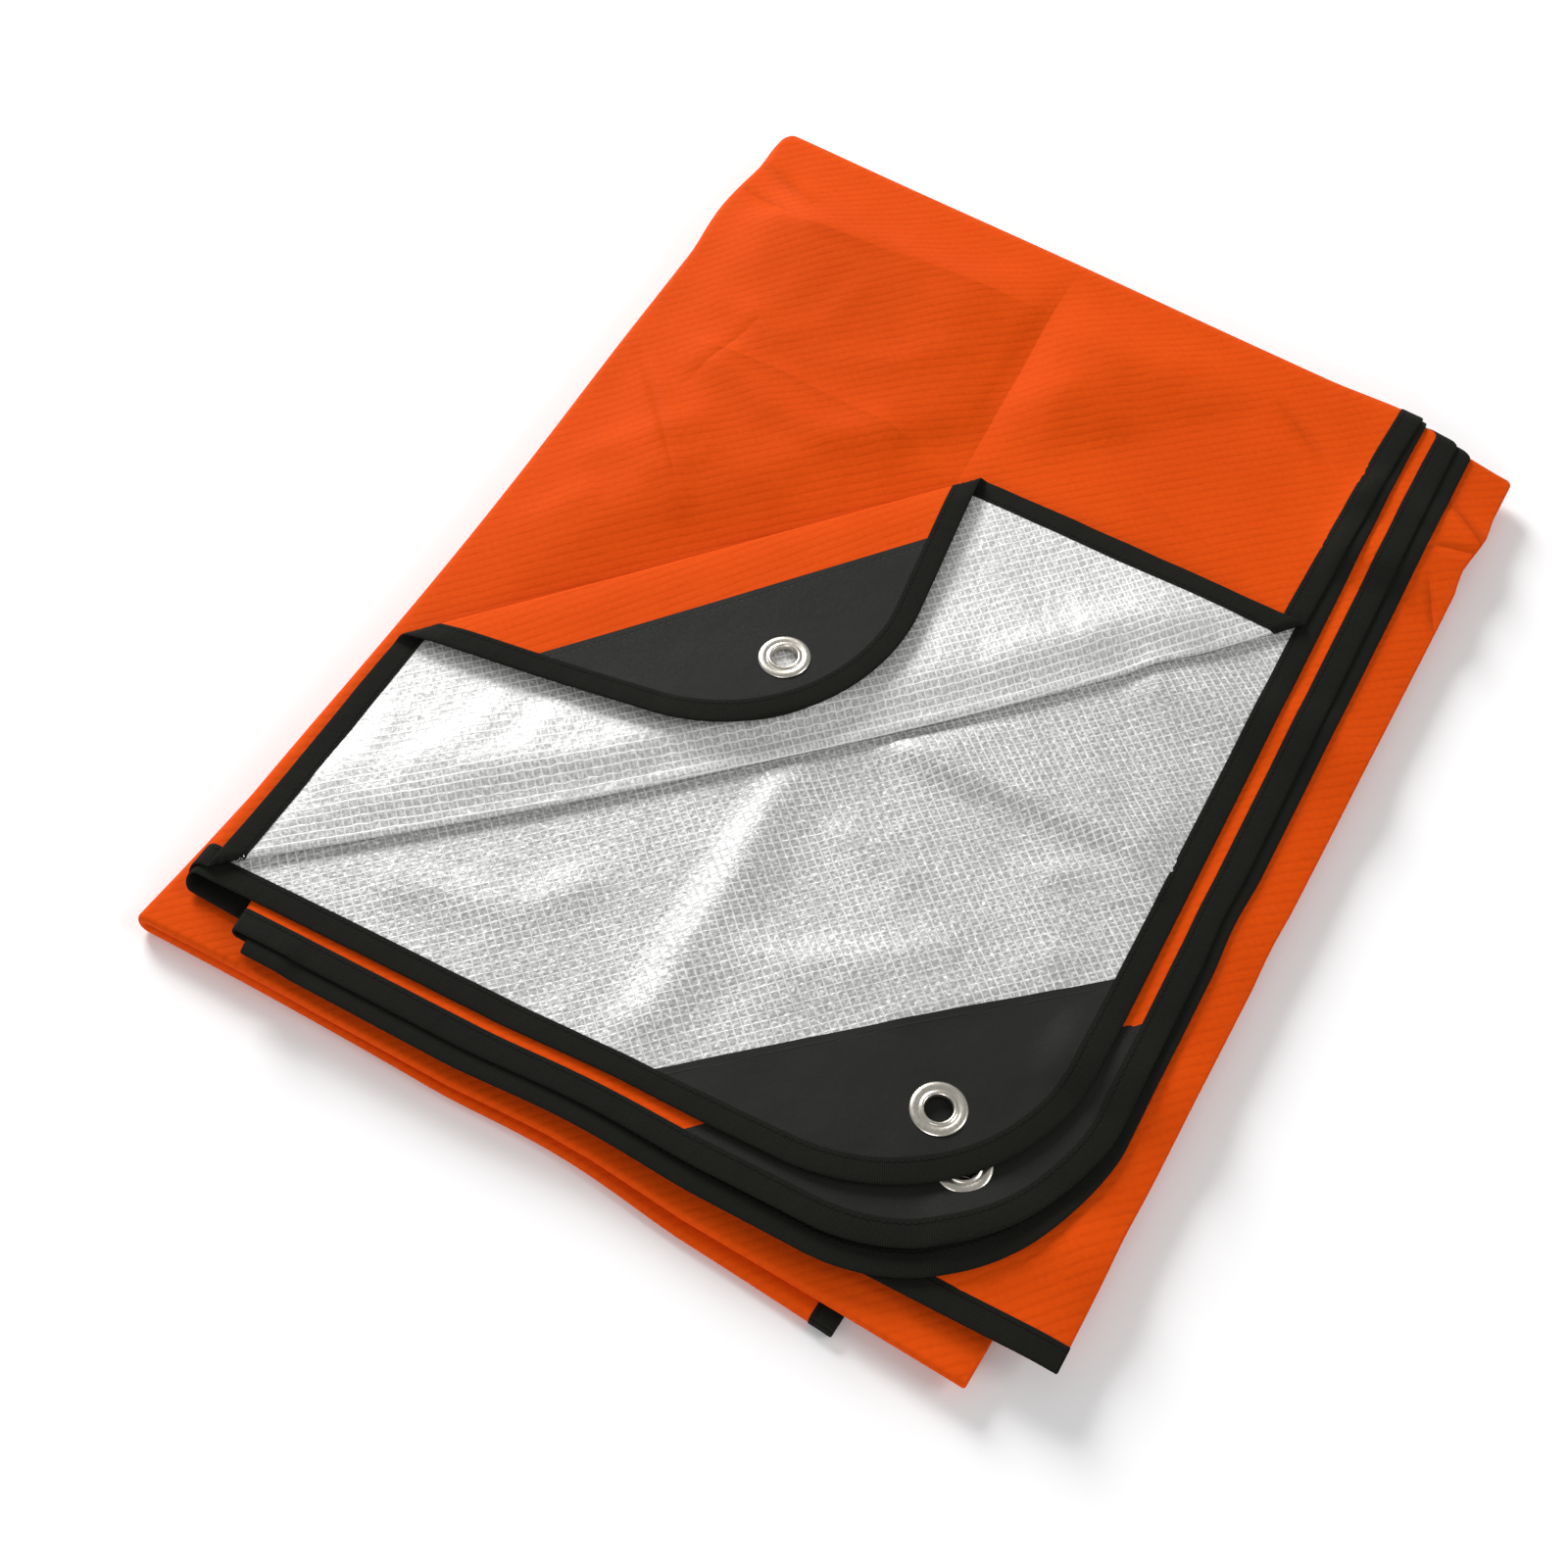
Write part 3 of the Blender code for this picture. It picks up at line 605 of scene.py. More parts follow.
class Finish:
    """A Principled material and the nodes that vary it."""

    def __init__(self, name, **constants):
        self.material = bpy.data.materials.new(name)
        self.material.use_nodes = True
        self.nodes = self.material.node_tree.nodes
        self.links = self.material.node_tree.links
        self.shader = self.nodes["Principled BSDF"]
        for socket, value in constants.items():
            self.shader.inputs[socket.replace("_", " ")].default_value = value

    def node(self, kind, settings=None, sockets=None, output=0):
        made = self.nodes.new("ShaderNode" + kind)
        for setting, value in (settings or {}).items():
            setattr(made, setting, value)
        pairs = sockets.items() if isinstance(sockets, dict) else enumerate(sockets or [])
        for socket, value in pairs:
            self.join(made.inputs[socket], value)
        return Wire(self, made.outputs[output])

    def join(self, socket, value):
        if isinstance(value, Wire):
            self.links.new(value.socket, socket)
        elif isinstance(value, tuple) and len(value) == 3 and socket.type == "RGBA":
            socket.default_value = (*value, 1.0)
        else:
            socket.default_value = value

    def tint(self, first, second, share):
        """A colour between two, by a share from 0 to 1."""
        return self.node("Mix", {"data_type": "RGBA"}, {0: share, 6: first, 7: second}, output=2)

    def split(self, vector):
        """The first two parts of a vector."""
        parts = self.node("SeparateXYZ", None, {"Vector": vector}).socket.node.outputs
        return Wire(self, parts[0]), Wire(self, parts[1])

    def flat_place(self):
        """Where a point is on the flat piece: as a vector in metres, and across and along in millimetres."""
        place = self.node("UVMap", {"uv_map": "flat"})
        across, along = self.split(place)
        return place, across / MM, along / MM

    def noise(self, place, scale, detail=2.0):
        return self.node("TexNoise", None, {"Vector": place, "Scale": scale, "Detail": detail})

    def bent(self, place, scale, reach):
        """A place moved about by up to half of reach, in metres, to bend a pattern out of true."""
        cloud = self.node("TexNoise", None, {"Vector": place, "Scale": scale}, output=1)
        centred = self.node("VectorMath", {"operation": "SUBTRACT"}, [cloud, (0.5, 0.5, 0.5)])
        offset = self.node("VectorMath", {"operation": "SCALE"}, {"Vector": centred, "Scale": reach})
        return self.node("VectorMath", {"operation": "ADD"}, [place, offset])

    def cells(self, place, scale):
        sockets = {"Vector": place, "Scale": scale, "Randomness": 1.0}
        return self.node("TexVoronoi", {"feature": "F1"}, sockets)

    def fold_mark(self, place, mark):
        """The height of a sharp pressed fold: full on its line, 0 from its width on, faded at its ends."""
        start, end = mark["from"], mark["to"]
        middle = ((start[0] + end[0]) / 2 * MM, (start[1] + end[1]) / 2 * MM, 0.0)
        angle = float(np.arctan2(end[1] - start[1], end[0] - start[0]))
        half = float(np.hypot(end[0] - start[0], end[1] - start[1])) / 2 * MM
        sockets = {"Vector": place, "Location": middle, "Rotation": (0.0, 0.0, angle)}
        sockets["Scale"] = (half, mark["wide"] * MM, 1.0)
        on, off = self.split(self.node("Mapping", {"vector_type": "TEXTURE"}, sockets))
        ridge = (1 - abs(off)).or_more(0.0)
        return ridge * ridge * (1 - on * on).or_more(0.0) * mark["high"]

    def set(self, **sockets):
        for socket, value in sockets.items():
            self.join(self.shader.inputs[socket.replace("_", " ")], value)

    def relief(self, height, depth, under=None):
        """Raises the surface by a height in the shader, depth in millimetres."""
        sockets = {"Height": height, "Strength": 1.0, "Distance": depth * MM}
        if under is not None:
            sockets["Normal"] = under
        return self.node("Bump", None, sockets)


def flat_uv(mesh):
    """Keeps each corner's place on the flat sheet as a texture map, in metres."""
    across = mesh.verts.layers.float["across"]
    along = mesh.verts.layers.float["along"]
    flat = mesh.loops.layers.uv.new("flat")
    for face in mesh.faces:
        for loop in face.loops:
            loop[flat].uv = (loop.vert[across] * MM, loop.vert[along] * MM)


def places(start, end, step):
    count = max(1, round((end - start) / step))
    return [start + (end - start) * index / count for index in range(count + 1)]


def sheet_places(length, inset, arcs, stretches, rolls):
    """Where the sheet's mesh lines go: a step for each stretch between folds, finer by some folds."""
    found = []
    at = inset
    starts = [start for start, _ in arcs] + [length - inset]
    for number, (start, (step, ahead, behind)) in enumerate(zip(starts, stretches)):
        inner = (at + behind[0], start - ahead[0])
        for pitch, begin, end in ((behind[1], at, inner[0]), (step, *inner), (ahead[1], inner[1], start)):
            if end > begin:
                found += places(begin, end, pitch)[:-1]
        if number < len(arcs):
            arc = arcs[number][1]
            found += places(start, start + arc, arc / rolls[number])[:-1]
            at = start + arc
    return found + [length - inset]


SHEET_INSET = 9.0
PATCH_ACROSS = 163.0
PATCH_ALONG = 143.0
UNDER_PATCH = 1.5
# A stretch of mesh lines has its step, and a reach and finer step by the fold ahead and by the one behind
EVEN = (0.0, 1.0)
BY_FOLD = (60.0, 7.5)
TOP_STEP = 5.7
SECOND_STEP = 8.0
HIDDEN_STEP = 22.0
ACROSS_ROLLS = (12, 8, 12)
ALONG_ROLLS = (14, 8, 14)
SHOWN = (TOP_STEP, EVEN, EVEN)
HIDDEN = (HIDDEN_STEP, EVEN, EVEN)
ACROSS_STRETCHES = (SHOWN, (HIDDEN_STEP, BY_FOLD, EVEN), (HIDDEN_STEP, EVEN, BY_FOLD), SHOWN)
ALONG_STRETCHES = (SHOWN, HIDDEN, HIDDEN, (SECOND_STEP, EVEN, EVEN))
across_places = sheet_places(WIDTH, SHEET_INSET, ACROSS_ARCS, ACROSS_STRETCHES, ACROSS_ROLLS)
along_places = sheet_places(LENGTH, SHEET_INSET, ALONG_ARCS, ALONG_STRETCHES, ALONG_ROLLS)
columns = len(across_places)
corners = [(x, y, 0.0) for y in along_places for x in across_places]
rows = len(along_places) - 1
firsts = [row * columns + column for row in range(rows) for column in range(columns - 1)]
quads = [(first, first + 1, first + columns + 1, first + columns) for first in firsts]
flat_data = bpy.data.meshes.new("flat_sheet")
flat_data.from_pydata(corners, [], quads)
sheet = bmesh.new()
sheet.from_mesh(flat_data)
bpy.data.meshes.remove(flat_data)
slant = np.array([1 / PATCH_ACROSS, 1 / PATCH_ALONG])
slant_length = np.linalg.norm(slant)
for from_right in (0, 1):
    for from_far in (0, 1):
        outward = -slant * (1 - 2 * np.array([from_right, from_far])) / slant_length
        corner_at = outward @ np.array([WIDTH * from_right, LENGTH * from_far])
        cut(sheet, sheet.faces[:], outward, corner_at - 1 / slant_length + UNDER_PATCH, clear=True)
thicken(sheet, CLOTH_HALF)
fold_up(sheet)
flat_uv(sheet)

# Pressed folds too fine for the mesh, on the flat sheet: how high each is drawn, below 0 for a valley, and
# how wide
FOLD_MARKS = (
    {"from": (182, 500), "to": (173, 336), "high": -2.0, "wide": 15.0},
    {"from": (352, 340), "to": (284, 268), "high": -1.6, "wide": 8.0},
    {"from": (330, 352), "to": (262, 357), "high": 1.0, "wide": 9.0},
    {"from": (282, 356), "to": (196, 352), "high": 1.2, "wide": 10.0},
    {"from": (302, 384), "to": (316, 322), "high": -0.8, "wide": 7.0},
    {"from": (370, 486), "to": (318, 462), "high": 2.4, "wide": 9.0},
    {"from": (360, 458), "to": (312, 444), "high": -1.8, "wide": 8.0},
    {"from": (336, 444), "to": (258, 450), "high": 1.5, "wide": 12.0},
    {"from": (276, 450), "to": (180, 462), "high": 1.2, "wide": 12.0},
    {"from": (732, 1610), "to": (768, 1639), "high": 2.2, "wide": 6.0},
    {"from": (738, 1652), "to": (770, 1634), "high": -1.8, "wide": 6.0},
    {"from": (746, 1664), "to": (762, 1694), "high": -1.6, "wide": 5.0},
    {"from": (120, 392), "to": (44, 372), "high": 0.7, "wide": 10.0},
    {"from": (64, 478), "to": (20, 448), "high": -2.2, "wide": 9.0},
)
SCRIM_PITCH = (3.62, 3.75)
KNIT_PITCH = 2.68
RIB_PITCH = (4.42, 4.0)
YARN_PITCH = 1.1
DIAGONAL = 0.7071
SCRIM_WANDER = 1.3
# Across the flat sheet, where the painted sheen on the silver starts to fade and where it is gone, in
# millimetres
PAINTED_SHEEN_FADE = (300.0, 700.0)
SILVER = ((0.38, 0.38, 0.375), (0.92, 0.92, 0.91))
# The colour of the painted glints on the silver face
PAINTED_GLINT = (0.97, 0.97, 0.96)
ORANGE = ((0.60, 0.056, 0.0012), (0.78, 0.082, 0.003))
WEAVE_DEPTH = 0.22
PRESSED_DEPTH = 1.0
RIPPLE_DEPTH = 0.6
foil = Finish("orange_foil", Specular_IOR_Level=0.05)
place, across, along = foil.flat_place()
side = foil.node("Attribute", {"attribute_name": "face_side"}, output=2).ramp(-0.02, 0.02)
frayed = foil.noise(place, 260.0)
bias_a = (across + along) * DIAGONAL + foil.noise(place, 60.0) * SCRIM_WANDER
bias_b = (across - along) * DIAGONAL + foil.noise(place, 47.0) * SCRIM_WANDER

# the silver face: two bias threads, a finer one between them and knitting yarns, over crumpled foil, with
# painted glints in specks and a painted sheen over the turned corner
scrim = bias_a.threads(SCRIM_PITCH[0], 0.2, 0.72, frayed * 0.3)
scrim = scrim.or_more(bias_b.threads(SCRIM_PITCH[1], 0.2, 0.66, frayed * 0.3) * 0.85)
scrim = scrim.or_more(bias_b.threads(SCRIM_PITCH[1] / 2, 0.1, 0.45) * 0.3)
scrim = scrim.or_more(across.threads(KNIT_PITCH, 0.2, 0.8) * 0.25)
# sparkle roughens the foil's relief and also paints light specks into its colour; the brightest specks are
# painted glints
sparkle = foil.noise(place, 520.0, 1.0)
painted_glints = foil.noise(place, 620.0, 0.0).ramp(0.6, 0.75)
dull = foil.noise(place, 30.0, 3.0).ramp(0.35, 0.65)
# painted sheen: the silver's colour is drawn lighter over the turned corner, for how light falls there,
# fading out further across
painted_sheen = 1 - across.ramp(*PAINTED_SHEEN_FADE)
shine = scrim * (0.4 + dull * 0.3 + painted_sheen * 0.1) + sparkle.ramp(0.4, 0.7) * 0.3 + painted_sheen * 0.24
silver = foil.tint(foil.tint(*SILVER, shine), PAINTED_GLINT, painted_glints * 0.6)

# the orange face: ribs of the weave both ways, with uneven depth, over a cloudy dye
worn = foil.noise(place, 9.0, 4.0).ramp(0.3, 0.7)
grain = foil.noise(place, 420.0)
uneven = foil.noise(place, 90.0).ramp(0.3, 0.7)
rib = bias_a.threads(RIB_PITCH[0], 0.3, 2.0, frayed * 0.9)
cross_rib = bias_b.threads(RIB_PITCH[1], 0.3, 1.8, frayed * 0.9)
yarn = along.threads(YARN_PITCH, 0.05, 0.5, frayed * 0.3)
dark_rib = rib * (0.28 + uneven * 0.3) + cross_rib * 0.16 + yarn * 0.14
orange = foil.tint(*ORANGE, grain * 0.5 + worn * 0.4 + 0.15 - dark_rib * 0.4)

weave = (scrim * 0.5 + sparkle * 0.6) * side + (1 - dark_rib + grain * 0.35) * (1 - side) * 0.9
crumples = foil.cells(foil.bent(place, 12.0, 0.03), 17.0) * 1.6 + foil.noise(place, 26.0, 3.0) * 1.5
crackle = foil.cells(place, 300.0) * 0.35 + foil.noise(place, 110.0) * 0.8
pressed = sum(foil.fold_mark(place, mark) for mark in FOLD_MARKS)
ripple = foil.relief(crumples + crackle * side, RIPPLE_DEPTH)
foil.set(
    Base_Color=foil.tint(orange, silver, side),
    Metallic=side * (0.42 - scrim * 0.3),
    Roughness=0.75 - side * (0.27 - scrim * 0.15),
    Normal=foil.relief(weave, WEAVE_DEPTH, foil.relief(pressed, PRESSED_DEPTH, ripple)),
)
blanket = finished_piece("foil_blanket", sheet, "blanket", foil.material)

# The edge binding. A black woven tape, folded lengthwise over the sheet's cut edge so that it grips both
# faces, and sewn through near its inner edge. It runs all round in one closed band, rounded at the corners.
CORNER_RADIUS = 92.0
TAPE_FACE = (
    (0.12, 0.38),
    (0.5, 0.56),
    (1.6, 0.64),
    (4.2, 0.6),
    (7.0, 0.64),
    (9.4, 0.66),
    (10.6, 0.68),
    (11.0, 0.6),
)
TAPE_SECTION = ((0.0, 0.0), *TAPE_FACE, *[(inset, -raised) for inset, raised in reversed(TAPE_FACE)])
TAPE_STEP = 3.5
FINE_STEP = 1.5
ROLL_STEPS = 14
ARC_STEPS = 60
NEAR_TURNED = (190.0, ACROSS_ARCS[0][0])
LEFT_TURNED = (150.0, 370.0)


def edge_stops(length, arcs, turned=None):
    """Where the tape's mesh is divided along one side: closely at folds and where it is turned over."""
    runs = [(CORNER_RADIUS, length - CORNER_RADIUS, TAPE_STEP)]
    runs += [(start, start + arc, arc / ROLL_STEPS) for start, arc in arcs]
    stops = {round(stop, 3) for run in runs for stop in places(*run)}
    if turned:
        stops = {stop for stop in stops if not turned[0] < stop < turned[1]}
        stops.update(round(stop, 3) for stop in places(*turned, FINE_STEP))
    return sorted(stops)


near_stops = edge_stops(WIDTH, ACROSS_ARCS, NEAR_TURNED)
far_stops = edge_stops(WIDTH, ACROSS_ARCS)
left_stops = edge_stops(LENGTH, ALONG_ARCS, LEFT_TURNED)
right_stops = edge_stops(LENGTH, ALONG_ARCS)


def corner_turn(centre_x, centre_y, start):
    turns = [radians(start + 90 * step / ARC_STEPS) for step in range(1, ARC_STEPS)]
    return [((centre_x, centre_y), (cos(turn), sin(turn)), CORNER_RADIUS) for turn in turns]


# each stop is a point, the outward direction there, and how far out the edge is
route = [((x, 0.0), (0.0, -1.0), 0.0) for x in near_stops]
route += corner_turn(WIDTH - CORNER_RADIUS, CORNER_RADIUS, 270)
route += [((WIDTH, y), (1.0, 0.0), 0.0) for y in right_stops]
route += corner_turn(WIDTH - CORNER_RADIUS, LENGTH - CORNER_RADIUS, 0)
route += [((x, LENGTH), (0.0, 1.0), 0.0) for x in reversed(far_stops)]
route += corner_turn(CORNER_RADIUS, LENGTH - CORNER_RADIUS, 90)
route += [((0.0, y), (-1.0, 0.0), 0.0) for y in reversed(left_stops)]
route += corner_turn(CORNER_RADIUS, CORNER_RADIUS, 180)
tape_points = [
    (x + out_x * (reach - inset), y + out_y * (reach - inset), raised)
    for (x, y), (out_x, out_y), reach in route
    for inset, raised in TAPE_SECTION
]
settled = settle(np.array(tape_points))
tape = bmesh.new()
tape_uv = tape.loops.layers.uv.new("flat")
tape_verts = [tape.verts.new(point) for point in settled]
around = len(TAPE_SECTION)
walked = [0.0]
for (a, out_a, reach_a), (b, out_b, reach_b) in zip(route, route[1:] + route[:1]):
    edge_a = np.array(a) + np.array(out_a) * reach_a
    edge_b = np.array(b) + np.array(out_b) * reach_b
    walked.append(walked[-1] + float(np.linalg.norm(edge_b - edge_a)))
girth = [0.0]
for (inset_a, up_a), (inset_b, up_b) in zip(TAPE_SECTION, TAPE_SECTION[1:] + TAPE_SECTION[:1]):
    girth.append(girth[-1] + ((inset_b - inset_a) ** 2 + (up_b - up_a) ** 2) ** 0.5)
for stop in range(len(route)):
    here, after = stop * around, (stop + 1) % len(route) * around
    for step in range(around):
        following = (step + 1) % around
        corners = (here + step, after + step, after + following, here + following)
        face = tape.faces.new([tape_verts[corner] for corner in corners])
        spots = ((stop, step), (stop + 1, step), (stop + 1, step + 1), (stop, step + 1))
        for loop, (run, turn) in zip(face.loops, spots):
            loop[tape_uv].uv = (walked[run] * MM, girth[turn] * MM)

STITCH_PITCH = 3.4
STITCH_ROW = 9.3
TAPE_BLACK = ((0.0025, 0.0026, 0.002), (0.014, 0.0142, 0.011))
WEBBING_DEPTH = 0.22
DOME_DEPTH = 0.6
webbing = Finish("binding", Specular_IOR_Level=0.1)
place, run, girth_at = webbing.flat_place()
ribs = run.threads(0.9, 0.1, 0.4)
fuzz = webbing.noise(place, 700.0)
faded = webbing.noise(place, 14.0, 3.0)
# how far in from the edge a point is on either face, and how far it is from the middle of the face
from_edge = girth_at.or_less(girth[-1] - girth_at)
half_face = girth[len(TAPE_FACE)] / 2
off_middle = (from_edge - half_face) / half_face
row = 1 - abs(from_edge - STITCH_ROW).ramp(0.1, 0.55)
stitch = row * run.wave(STITCH_PITCH).ramp(0.3, 0.6)
pucker_place = webbing.node("CombineXYZ", None, [run * 0.11, from_edge * 0.05, 0.0])
dome = (1 - off_middle * off_middle) * 0.5 + webbing.noise(pucker_place, 1.0) * 1.6
domed = webbing.relief(dome, DOME_DEPTH)
webbing.set(
    Base_Color=webbing.tint(*TAPE_BLACK, ribs * 0.45 + fuzz * 0.45 + faded * 0.3 - row * 0.3),
    Roughness=0.7 + fuzz * 0.25,
    Normal=webbing.relief(ribs * 0.7 + fuzz * 0.9 + stitch * 2.0 - row * 1.2, WEBBING_DEPTH, domed),
)
binding = finished_piece("edge_binding", tape, "binding", webbing.material)

# The corner pads. Black woven patches, one on each face of a corner, that stiffen it for its eyelet. They
# are sewn down together: under the binding at the corner's edge, and along a hem on their slanted side.
PATCH_HALF = 0.46
PATCH_INSET = 10.0
PAD_STEP = 4.0
EYELET_INSET = 47.3
HOLE_RADIUS = 7.1
HOLE_STEPS = 36
HEM_ROW = 3.2
PAD_BLACK = ((0.0052, 0.0054, 0.0044), (0.0145, 0.0148, 0.0118))
PAD_WEAVE_DEPTH = 0.12
PAD_SAG_DEPTH = 1.6
# Each corner of the flat sheet, and which way in lies from it
CORNERS = (
    {"x": 0.0, "y": 0.0, "in_x": 1, "in_y": 1},
    {"x": WIDTH, "y": 0.0, "in_x": -1, "in_y": 1},
    {"x": WIDTH, "y": LENGTH, "in_x": -1, "in_y": -1},
    {"x": 0.0, "y": LENGTH, "in_x": 1, "in_y": -1},
)


def in_from(corner, x, y):
    return corner["x"] + corner["in_x"] * x, corner["y"] + corner["in_y"] * y


def corner_outline():
    inner = CORNER_RADIUS - PATCH_INSET
    across = PATCH_ACROSS * (1 - PATCH_INSET / PATCH_ALONG)
    along = PATCH_ALONG * (1 - PATCH_INSET / PATCH_ACROSS)
    outline = [(across, PATCH_INSET), (PATCH_INSET, along)]
    for step in range(ARC_STEPS + 1):
        turn = radians(180 + 90 * step / ARC_STEPS)
        outline.append((CORNER_RADIUS + inner * cos(turn), CORNER_RADIUS + inner * sin(turn)))
    return outline


def ring(mesh, outline):
    verts = [mesh.verts.new((x, y, 0.0)) for x, y in outline]
    return [mesh.edges.new((vert, verts[index - 1])) for index, vert in enumerate(verts)]


pad_cloth = Finish("patch", Specular_IOR_Level=0.22)
place, across, along = pad_cloth.flat_place()
pad_weave = across.threads(0.8, 0.1, 0.35) * 0.4 + along.threads(0.8, 0.1, 0.35) * 0.4
cloudy = pad_cloth.noise(place, 22.0, 4.0)
fluff = pad_cloth.noise(place, 600.0)
# how far in from the pad's slanted hem a point is, for whichever of the four corners it lies in
from_side = across.or_less(WIDTH - across)
from_end = along.or_less(LENGTH - along)
from_hem = (1 - from_side / PATCH_ACROSS - from_end / PATCH_ALONG) * (1 / slant_length)
hem = 1 - abs(from_hem - HEM_ROW).ramp(0.15, 0.6)
hem_stitch = hem * ((across - along) * 0.7).wave(STITCH_PITCH).ramp(0.3, 0.6)
sag = pad_cloth.relief(cloudy, PAD_SAG_DEPTH)
pad_cloth.set(
    Base_Color=pad_cloth.tint(*PAD_BLACK, cloudy * 0.6 + fluff * 0.35),
    Roughness=0.58 + fluff * 0.2,
    Normal=pad_cloth.relief(pad_weave + fluff * 0.3 + hem_stitch * 1.6 - hem * 0.8, PAD_WEAVE_DEPTH, sag),
)
hole = []
for step in range(HOLE_STEPS):
    turn = 2 * pi * step / HOLE_STEPS
    hole.append((EYELET_INSET + HOLE_RADIUS * cos(turn), EYELET_INSET + HOLE_RADIUS * sin(turn)))
for number, corner in enumerate(CORNERS, 1):
    pad = bmesh.new()
    edges = []
    for outline in (corner_outline(), hole):
        edges += ring(pad, [in_from(corner, x, y) for x, y in outline])
    bmesh.ops.triangle_fill(pad, edges=edges, use_beauty=True)
    for position in np.arange(PATCH_INSET, PATCH_ACROSS, PAD_STEP):
        at_x, at_y = in_from(corner, position, position)
        cut(pad, pad.faces[:], (1.0, 0.0), at_x)
        cut(pad, pad.faces[:], (0.0, 1.0), at_y)
    thicken(pad, PATCH_HALF)
    fold_up(pad)
    flat_uv(pad)
    node = f"corner_patch_{number}"
    finished_piece(f"corner_pad_{number}", pad, node, pad_cloth.material)

# The eyelets. Bright plated metal rings, pressed through a hole punched in each corner pad. The side that
# shows is rolled over into a bead round the hole, and the back is flared flat against the pad.
EYELET_STEPS = 64
EYELET_SPREAD = 6.0
PLATE = ((0.66, 0.62, 0.53), (0.86, 0.82, 0.74))
SCUFF_DEPTH = 0.03
# The ring's section, as radius and height: up its barrel, over the bead, out to its rim, in under it to the
# barrel, out along the back and in again
EYELET_SECTION = (
    *((5.6, 0.2), (5.62, 0.9), (5.75, 1.3), (6.05, 1.55), (6.45, 1.65), (6.85, 1.58), (7.15, 1.38)),
    *((7.35, 1.2), (7.7, 1.12), (8.1, 1.2), (8.7, 1.36), (9.4, 1.44), (10.1, 1.38), (10.7, 1.2)),
    *((11.1, 0.98), (11.3, 0.74), (11.2, 0.6), (6.3, 0.6), (6.3, -0.6), (11.2, -0.6), (11.3, -0.75)),
    *((11.1, -0.95), (10.3, -1.1), (8.4, -1.2), (6.6, -1.35), (5.8, -1.2), (5.6, -0.8)),
)
plating = Finish("eyelet", Metallic=1.0)
spot = plating.node("TexCoord", output=3)
scuffs = plating.noise(spot, 900.0, 3.0)
plating.set(
    Base_Color=plating.tint(*PLATE, scuffs),
    Roughness=0.24 + scuffs * 0.16,
    Normal=plating.relief(scuffs, SCUFF_DEPTH),
)
for number, corner in enumerate(CORNERS, 1):
    # the cloth's place and tilt at the hole come from five points that go through the folds together
    x, y = in_from(corner, EYELET_INSET, EYELET_INSET)
    steps = np.array([[0, 0, 0], [1, 0, 0], [-1, 0, 0], [0, 1, 0], [0, -1, 0]])
    middle, right, left, up, down = settle(steps * EYELET_SPREAD + (x, y, 0.0))
    right = (right - left) / np.linalg.norm(right - left)
    normal = np.cross(right, up - down)
    normal /= np.linalg.norm(normal)
    stand = np.column_stack([right, np.cross(normal, right), normal])
    metal = bmesh.new()
    verts = [metal.verts.new((radius, 0.0, raised)) for radius, raised in EYELET_SECTION]
    edges = [metal.edges.new((vert, verts[index - 1])) for index, vert in enumerate(verts)]
    bmesh.ops.spin(
        metal,
        geom=verts + edges,
        cent=(0, 0, 0),
        axis=(0, 0, 1),
        angle=2 * pi,
        steps=EYELET_STEPS,
        use_merge=True,
    )
    shown_up = 1.0 if normal[2] > 0 else -1.0
    shape = np.array([vert.co for vert in metal.verts], float) * (1.0, shown_up, shown_up)
    write(metal, (shape * MM) @ stand.T + middle)
    node = f"eyelet_{number}"
    finished_piece(f"eyelet_ring_{number}", metal, node, plating.material)

# The ground that the packet lies on. A plain pale studio floor of matt paper, laid flat and reaching well
# past the packet.
FLOOR_HALF = 6.0
FLOOR_DROP = 0.0004
PAPER_WHITE = (0.95, 0.95, 0.95)
PAPER_GLOW = 0.04
floor_mesh = bmesh.new()
bmesh.ops.create_grid(floor_mesh, x_segments=2, y_segments=2, size=FLOOR_HALF)
floor_data = bpy.data.meshes.new("floor")
floor_mesh.to_mesh(floor_data)
floor_mesh.free()
floor = bpy.data.objects.new("floor", floor_data)
floor.location.z = -FLOOR_DROP
bpy.context.scene.collection.objects.link(floor)
paper = Finish("paper", Roughness=0.9, Emission_Color=(1.0, 1.0, 1.0, 1.0), Emission_Strength=PAPER_GLOW)
paper.set(Base_Color=PAPER_WHITE)
floor_data.materials.append(paper.material)

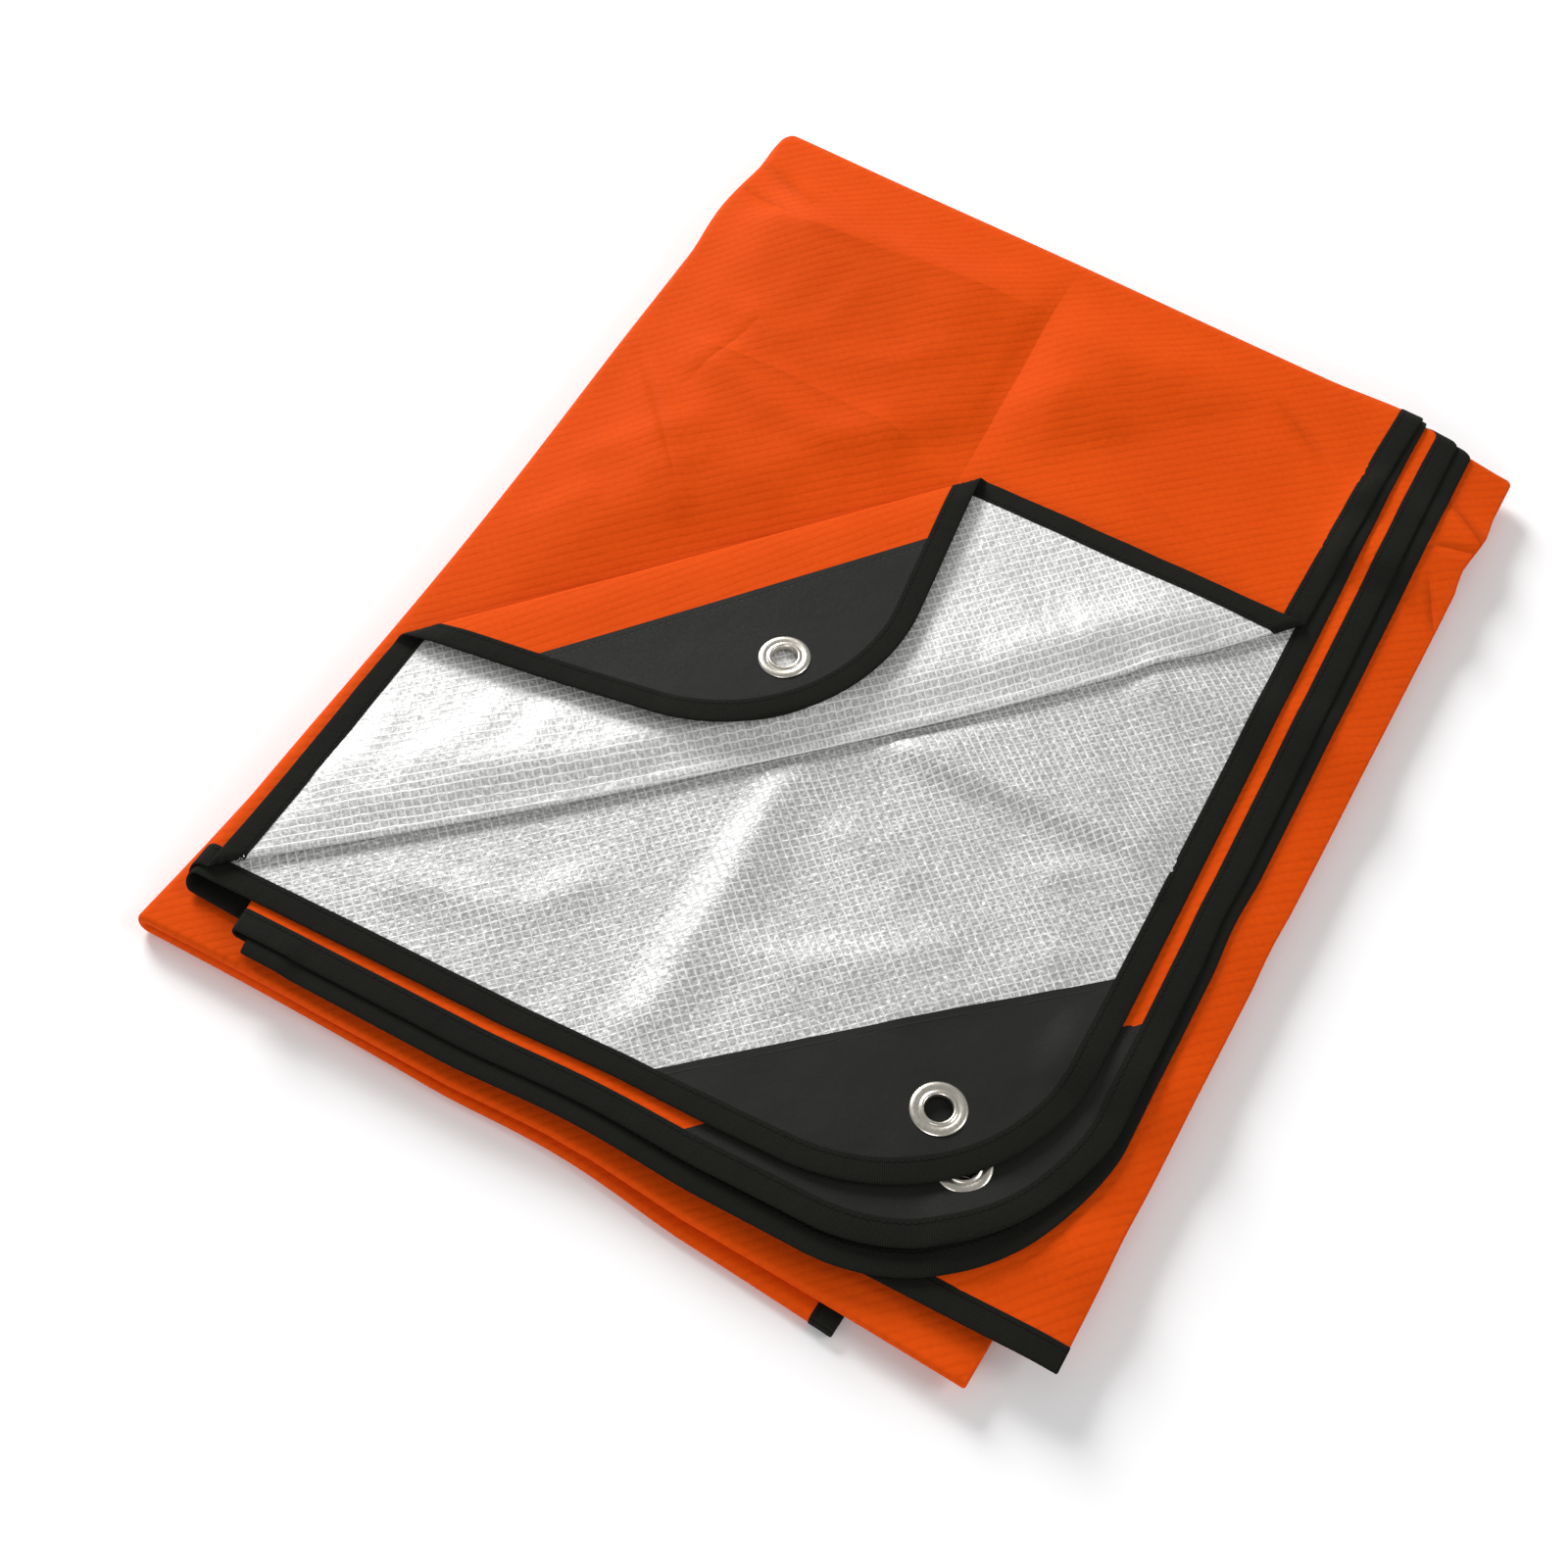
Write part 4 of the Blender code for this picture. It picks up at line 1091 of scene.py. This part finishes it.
# The studio. An even pale surround and three square softboxes aimed at the packet: a strong one behind on
# the left that rakes over the creases, a weaker one on the right, and a weak one in front.
SURROUND = 0.31
world = bpy.data.worlds.new("studio")
world.use_nodes = True
surround = world.node_tree.nodes["Background"].inputs
surround["Color"].default_value = (1.0, 1.0, 1.0, 1.0)
surround["Strength"].default_value = SURROUND
bpy.context.scene.world = world


def softbox(name, at, size, power):
    lamp = bpy.data.lights.new(name, "AREA")
    lamp.shape = "SQUARE"
    lamp.size = size
    lamp.energy = power
    placed = bpy.data.objects.new(name, lamp)
    placed.location = at
    aim = -np.array(at)
    flat_reach = np.hypot(aim[0], aim[1])
    placed.rotation_euler = (np.arctan2(flat_reach, -aim[2]), 0.0, np.arctan2(aim[1], aim[0]) - pi / 2)
    bpy.context.scene.collection.objects.link(placed)


softbox("key", (-3.0, 2.3, 2.0), 1.6, 203.0)
softbox("second key", (3.2, 0.9, 2.4), 1.5, 42.0)
softbox("front fill", (0.4, -3.0, 1.5), 1.6, 34.0)

# The camera. It looks steeply down on the packet from its near right, through a slightly long lens, close
# enough that the packet fills the frame, with no shift and no blur.
CAMERA = {"azimuth": 28.4, "elevation": 57.8, "distance": 0.874, "lens": 47.95, "aim": (189.2, 139.2)}
SENSOR = 36.0
azimuth = radians(CAMERA["azimuth"])
elevation = radians(CAMERA["elevation"])
backward = np.array([sin(azimuth) * cos(elevation), -cos(azimuth) * cos(elevation), sin(elevation)])
sideways = np.array([cos(azimuth), sin(azimuth), 0.0])
aimed_at = (np.array([*CAMERA["aim"], STACK_HIGH]) - PACKET_ORIGIN) * MM
stands_at = aimed_at + backward * CAMERA["distance"]
lens = bpy.data.cameras.new("camera")
lens.lens = CAMERA["lens"]
lens.sensor_width = SENSOR
camera = bpy.data.objects.new("camera", lens)
pose = np.eye(4)
pose[:3, :3] = np.column_stack([sideways, np.cross(backward, sideways), backward])
pose[:3, 3] = stands_at
camera.matrix_world = Matrix(pose)
bpy.context.scene.collection.objects.link(camera)
bpy.context.scene.camera = camera
bpy.context.scene.view_settings.view_transform = "Standard"
